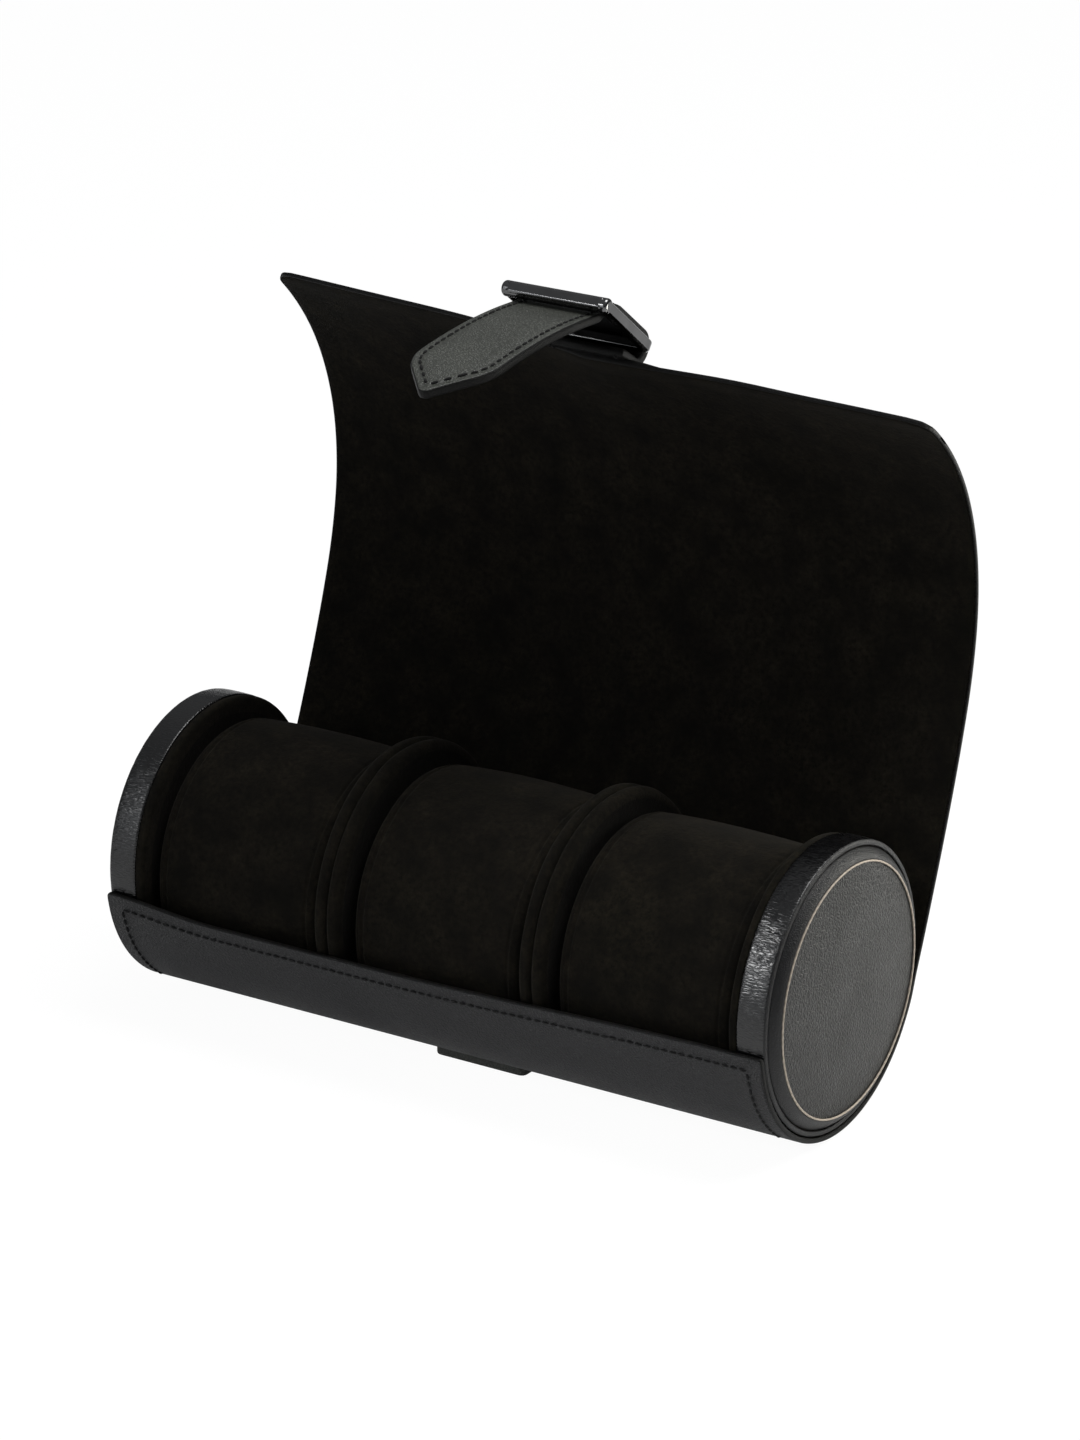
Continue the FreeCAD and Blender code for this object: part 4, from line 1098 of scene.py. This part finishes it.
class WATCHROLL_OT_strap(bpy.types.Operator):
    """Make the closing strap, folded round the buckle's rear bar, in stretches, and its stitches"""
    bl_idname = "watch_roll.strap"
    bl_label = "Closing strap"

    def execute(self, context):
        sizes, finish = context.scene.watch_roll_sizes, finishes()
        inset = sizes.strap_stitch / MM
        for number, (first, last) in enumerate(zip(STRAP_CUTS, STRAP_CUTS[1:])):
            self.stretch(number, first, last, inset, finish)
        self.stitches(inset, sizes.stitch_pitch / MM, finish)
        return {"FINISHED"}

    def high(self, s, x, half, inset):
        """Outer face: a little padded, and pressed down along the stitches."""
        padding, pressed, ditch_width = 0.35, 0.2, 0.9
        inside = np.clip((half - np.abs(x)) / STRAP_HALF, 0, 1)
        ditch = np.exp(-((half - np.abs(x) - inset) / ditch_width) ** 2)
        free = smooth((s + 2) / 12)
        return STRAP_THICK + padding * free * smooth(inside * 2.2) - pressed * ditch

    def stretch(self, number, first, last, inset, finish):
        sewn_step, free_step, edge_size = 0.5, 1.6, 1.1
        ends = last >= TONGUE_LENGTH
        if ends:
            turn = np.linspace(0, math.pi / 2, 26)
            row = np.concatenate([[first, first + CUT_STEP], first + (last - first) * np.sin(turn[1:])])
        else:
            steps = max(6, int((last - first) / (sewn_step if number == 0 else free_step)))
            row = np.concatenate([[first, first + CUT_STEP], np.linspace(first, last, steps + 1)[1:-1],
                                  [last - CUT_STEP, last]])
        half = half_width(row)[:, None]
        edge = np.minimum(edge_size, half * 0.6)
        side = [(away / EDGE[0][0], share) for away, share in EDGE]
        spread = np.linspace(-1, 1, 25)[1:-1]
        x = np.concatenate([np.stack([-(half - edge * i)[:, 0] for i, _ in reversed(side)], 1),
                            (half - edge) * spread,
                            np.stack([(half - edge * i)[:, 0] for i, _ in side], 1)], 1)
        share = np.concatenate([[f for _, f in reversed(side)], np.zeros(len(spread)), [f for _, f in side]])
        s = np.repeat(row[:, None], x.shape[1], 1)
        close = 0 * s
        if ends:
            close = np.interp(last - s, *STRAP_END)
        elif number == 0:
            close = np.interp(s - first, *STRAP_END)
        share = 1 - (1 - share[None, :]) * (1 - close)
        top = self.high(s, x, half, inset)
        # The sewn end's outer face, in shadow under the buckle, takes the near-black lining as painted
        # shade; every stretch's low face takes it too.
        outer = finish["lining" if number == 0 else "strap"]
        piece = slab(f"strap_leather_{LETTERS[number]}", lambda s, x, h: STRAP.point(x, s, h), s, x,
                     top / 2 * share, top - top / 2 * share, [outer, finish["edge"], finish["lining"]],
                     trim=share > TRIM_SHARE, under=2)
        self.follow(piece, number, first, last)
        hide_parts(STRAP_NODES[number])

    def follow(self, piece, number, first, last):
        """Let the last stretch, or its stitches, ride on its body; the others are only baked in place."""
        if number == len(STRAP_BODIES) - 1:
            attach(piece, STRAP_BODIES[number])
            return
        if number == 0:
            below, above = 4.5, 2.0
            lean = STRAP.at(FOLD_START)[2] - math.pi
            rise = np.array([0, math.sin(lean), -math.cos(lean)])
            bar = np.concatenate([[0], HINGES["buckle_swing"]])
            start, end = (bar - below * rise) * MM, (bar + above * rise) * MM
        else:
            under_bar, inset = -5.0, 1.0
            begin = under_bar if number == 1 else first + inset
            start, end = STRAP.point(0, np.array([begin, last - inset]), STRAP_THICK / 2) * MM
        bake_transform(piece)

    def stitches(self, inset, pitch, finish):
        first_gap, least_half, path_step, proud = 1.5, 0.4, 0.8, 0.14
        first_stitch = STRAP_START + first_gap
        line = OUTLINE[OUTLINE[:, 0] > first_stitch]
        step = np.gradient(line, axis=0)
        step /= np.linalg.norm(step, axis=1)[:, None]
        shrunk = line + inset * np.stack([step[:, 1], -step[:, 0]], 1)
        shrunk = shrunk[shrunk[:, 1] > least_half]
        straight = [(s, STRAP_HALF - inset) for s in np.linspace(first_stitch, shrunk[0, 0], 150)]
        side = np.array(straight + [tuple(p) for p in shrunk if p[0] > straight[-1][0]])
        gone = np.concatenate([[0], np.cumsum(np.linalg.norm(np.diff(side, axis=0), axis=1))])
        total = int(gone[-1] / pitch) * pitch
        even = np.linspace(0, total, int(total / path_step))
        s, x = np.interp(even, gone, side[:, 0]), np.interp(even, gone, side[:, 1])
        for number, (first, last) in enumerate(zip(STRAP_CUTS, STRAP_CUTS[1:])):
            inside = (s >= first) & (s < last)
            near, out = s[inside], x[inside]
            top = self.high(near, out, half_width(near), inset) + proud
            name = f"strap_stitches_{LETTERS[number]}"
            rows = [sewn(name, STRAP.point(sign * out, near, top), finish["thread"]) for sign in (1, -1)]
            self.follow(joined(rows), number, first, last)


class WATCHROLL_OT_landing(bpy.types.Operator):
    """Make the leather landing pad under the roll"""
    bl_idname = "watch_roll.landing"
    bl_label = "Landing pad"

    def execute(self, context):
        finish = finishes()
        low, high = span("landing_pad")
        gap = 0.03
        outer = AXIS - span("cover_base_leather")[0][2] + gap
        half, edge_size, corner, turn, most = high[0], 1.0, 2.5, 7, 1.2
        x, share = columns(half, edge_size, half - edge_size)
        row, row_share = run(low[1], high[1], True, True, edge_size)
        s, x = np.meshgrid(row, x, indexing="ij")
        share = 1 - (1 - row_share[:, None]) * (1 - share[None, :])
        fall = corner_drop(x, half, corner)
        s = s - np.sign(s) * fall * smooth((np.abs(s) - high[1] + turn) / turn)
        top = AXIS - np.sqrt(outer ** 2 - s ** 2)
        keep = np.minimum(top / 2, most)
        piece = slab("landing_tab", lambda s, x, h: np.stack([x, s, h], -1), s, x, keep * share,
                     top - keep * share * 0.6, [finish["strap"]])
        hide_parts("landing_pad")
        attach(piece, "roll")
        return {"FINISHED"}


class WATCHROLL_OT_hard_parts(bpy.types.Operator):
    """Finish the buckle, cores, boards, magnet and its plate, which keep their solids"""
    bl_idname = "watch_roll.hard_parts"
    bl_label = "Buckle and hidden parts"

    def execute(self, context):
        finish = finishes()
        kinds = {"buckle_frame": "metal", "strap_magnet": "steel", "keeper_plate": "steel"}
        kinds.update({n: "board" for n in frame["nodes"] if n.endswith(("_core", "_board"))})
        for node, kind in kinds.items():
            solid = frame["nodes"][node]
            if not solid.material_slots:
                solid.data.materials.append(None)
            for slot in solid.material_slots:
                slot.material = finish[kind]
        return {"FINISHED"}


# Stage

def lamp(name, place, aim, wide, power, warmth=(1, 1, 1), spread=180):
    """A soft square studio light."""
    light = bpy.data.lights.new(name, "AREA")
    light.shape = "SQUARE"
    light.size = wide
    light.energy = power
    light.color = warmth
    light.spread = math.radians(spread)
    holder = bpy.data.objects.new(name, light)
    holder.location = place
    holder.rotation_euler = (Vector(aim) - Vector(place)).to_track_quat("-Z", "Y").to_euler()
    bpy.context.scene.collection.objects.link(holder)


class WATCHROLL_OT_stage(bpy.types.Operator):
    """Make the white floor, the soft studio light and the camera"""
    bl_idname = "watch_roll.stage"
    bl_label = "Stage"

    def execute(self, context):
        scene = context.scene
        self.floor(scene)
        self.light(scene)
        view = bpy.data.cameras.new("View")
        view.sensor_fit = "VERTICAL"
        view.sensor_height = 36.0
        view.lens = 142.70
        camera = bpy.data.objects.new("View", view)
        camera.location = (0.89154, -1.37628, 0.73656)
        aim = Vector((-0.00248, 0.02286, 0.10233)) - camera.location
        camera.rotation_euler = aim.to_track_quat("-Z", "Y").to_euler()
        scene.collection.objects.link(camera)
        scene.camera = camera
        scene.view_settings.view_transform = "Standard"
        return {"FINISHED"}

    def seen_white(self, tree):
        """Share of white that the floor shows: all seen straight or through glass, less in reflections, and
        least in reflections near the roll, a painted shadow round it.
        """
        rays = put(tree, "ShaderNodeLightPath").outputs
        place = put(tree, "ShaderNodeTexCoord").outputs["Object"]
        away = put(tree, "ShaderNodeVectorMath", {0: place}, operation="LENGTH")
        # Reflections of the floor near the roll show less white: a painted shadow round the roll.
        shadow_near_roll = put(tree, "ShaderNodeMapRange", {"Value": away.outputs["Value"], "From Min": 0.15,
                                               "From Max": 0.9, "To Min": 0.12, "To Max": 0.5})
        glossy = put(tree, "ShaderNodeMath", {0: rays["Is Glossy Ray"], 1: shadow_near_roll.outputs["Result"]},
                     operation="MULTIPLY")
        first = put(tree, "ShaderNodeMath", {0: rays["Is Camera Ray"], 1: glossy.outputs[0]},
                    operation="MAXIMUM")
        return put(tree, "ShaderNodeMath", {0: first.outputs[0], 1: rays["Is Transmission Ray"]},
                   operation="MAXIMUM").outputs[0]

    def floor(self, scene):
        tint = scene.watch_roll_colours.ground
        mesh = bpy.data.meshes.new("floor")
        far, below, whiteness, strength = 8, 0.0004, 0.93, 1.03
        corners = [(-far, -far, 0), (far, -far, 0), (far, far, 0), (-far, far, 0)]
        mesh.from_pydata(corners, [], [(0, 1, 2, 3)])
        floor = bpy.data.objects.new("floor", mesh)
        floor.location.z = -below
        scene.collection.objects.link(floor)
        material = bpy.data.materials.new("White paper floor")
        material.use_nodes = True
        tree = material.node_tree
        tree.nodes.clear()
        paper = put(tree, "ShaderNodeBsdfDiffuse", {"Color": tint})
        glow = put(tree, "ShaderNodeEmission", {"Color": (1, 1, 1, 1), "Strength": strength})
        share = put(tree, "ShaderNodeMath", {0: self.seen_white(tree), 1: whiteness}, operation="MULTIPLY")
        both = put(tree, "ShaderNodeMixShader",
                   {0: share.outputs[0], 1: paper.outputs[0], 2: glow.outputs[0]})
        put(tree, "ShaderNodeOutputMaterial", {"Surface": both.outputs[0]})
        mesh.materials.append(material)

    def light(self, scene):
        world = bpy.data.worlds.new("Studio")
        scene.world = world
        world.use_nodes = True
        tree = world.node_tree
        tree.nodes.clear()
        way = put(tree, "ShaderNodeSeparateXYZ", {0: put(tree, "ShaderNodeTexCoord").outputs["Generated"]})
        level = put(tree, "ShaderNodeMapRange", {"Value": way.outputs["Z"], "To Min": 0.06, "To Max": 0.4})
        room = put(tree, "ShaderNodeBackground",
                   {"Color": (0.95, 0.97, 1, 1), "Strength": level.outputs["Result"]})
        white = put(tree, "ShaderNodeBackground", {"Color": (1, 1, 1, 1), "Strength": 1.0})
        rays = put(tree, "ShaderNodeLightPath").outputs
        both = put(tree, "ShaderNodeMixShader",
                   {0: rays["Is Camera Ray"], 1: room.outputs[0], 2: white.outputs[0]})
        put(tree, "ShaderNodeOutputWorld", {"Surface": both.outputs[0]})
        middle = (0, 0, 0.1)
        lamp("overhead", (0.4, 0.25, 1.4), middle, 0.8, 16.5)
        lamp("right_side", (0.27, 0.2, 0.16), (0.125, 0.03, 0.06), 0.1, 0.62, (1, 0.99, 0.92))
        lamp("front_fill", (-0.7, -1.5, 0.7), middle, 1.2, 5.8, (0.93, 0.96, 1))
        lamp("front_high", (-0.44, -0.81, 0.62), (0.12, -0.04, 0.06), 0.2, 0.072, spread=22)


# Panel and registration

class WATCHROLL_PT_panel(bpy.types.Panel):
    """Pieces of the watch roll and their settings"""
    bl_idname = "WATCHROLL_PT_panel"
    bl_label = "Watch roll"
    bl_space_type = "VIEW_3D"
    bl_region_type = "UI"
    bl_category = "Watch roll"

    def draw(self, context):
        for operator in OPERATORS:
            self.layout.operator(operator.bl_idname)
        for settings in (context.scene.watch_roll_sizes, context.scene.watch_roll_colours):
            box = self.layout.box()
            for name in settings.__annotations__:
                box.prop(settings, name)


OPERATORS = (
    WATCHROLL_OT_hard_parts,
    WATCHROLL_OT_cover,
    WATCHROLL_OT_caps,
    WATCHROLL_OT_dividers,
    WATCHROLL_OT_cuffs,
    WATCHROLL_OT_strap,
    WATCHROLL_OT_landing,
    WATCHROLL_OT_stage,
)
CLASSES = (WatchRollColours, WatchRollSizes) + OPERATORS + (WATCHROLL_PT_panel,)


def register():
    for cls in CLASSES:
        bpy.utils.register_class(cls)
    bpy.types.Scene.watch_roll_colours = PointerProperty(type=WatchRollColours)
    bpy.types.Scene.watch_roll_sizes = PointerProperty(type=WatchRollSizes)


def unregister():
    del bpy.types.Scene.watch_roll_sizes
    del bpy.types.Scene.watch_roll_colours
    for cls in reversed(CLASSES):
        bpy.utils.unregister_class(cls)


def main():
    register()
    bpy.ops.watch_roll.hard_parts()
    bpy.ops.watch_roll.cover()
    bpy.ops.watch_roll.caps()
    bpy.ops.watch_roll.dividers()
    bpy.ops.watch_roll.cuffs()
    bpy.ops.watch_roll.strap()
    bpy.ops.watch_roll.landing()
    bpy.ops.watch_roll.stage()


if __name__ == "__main__":
    main()
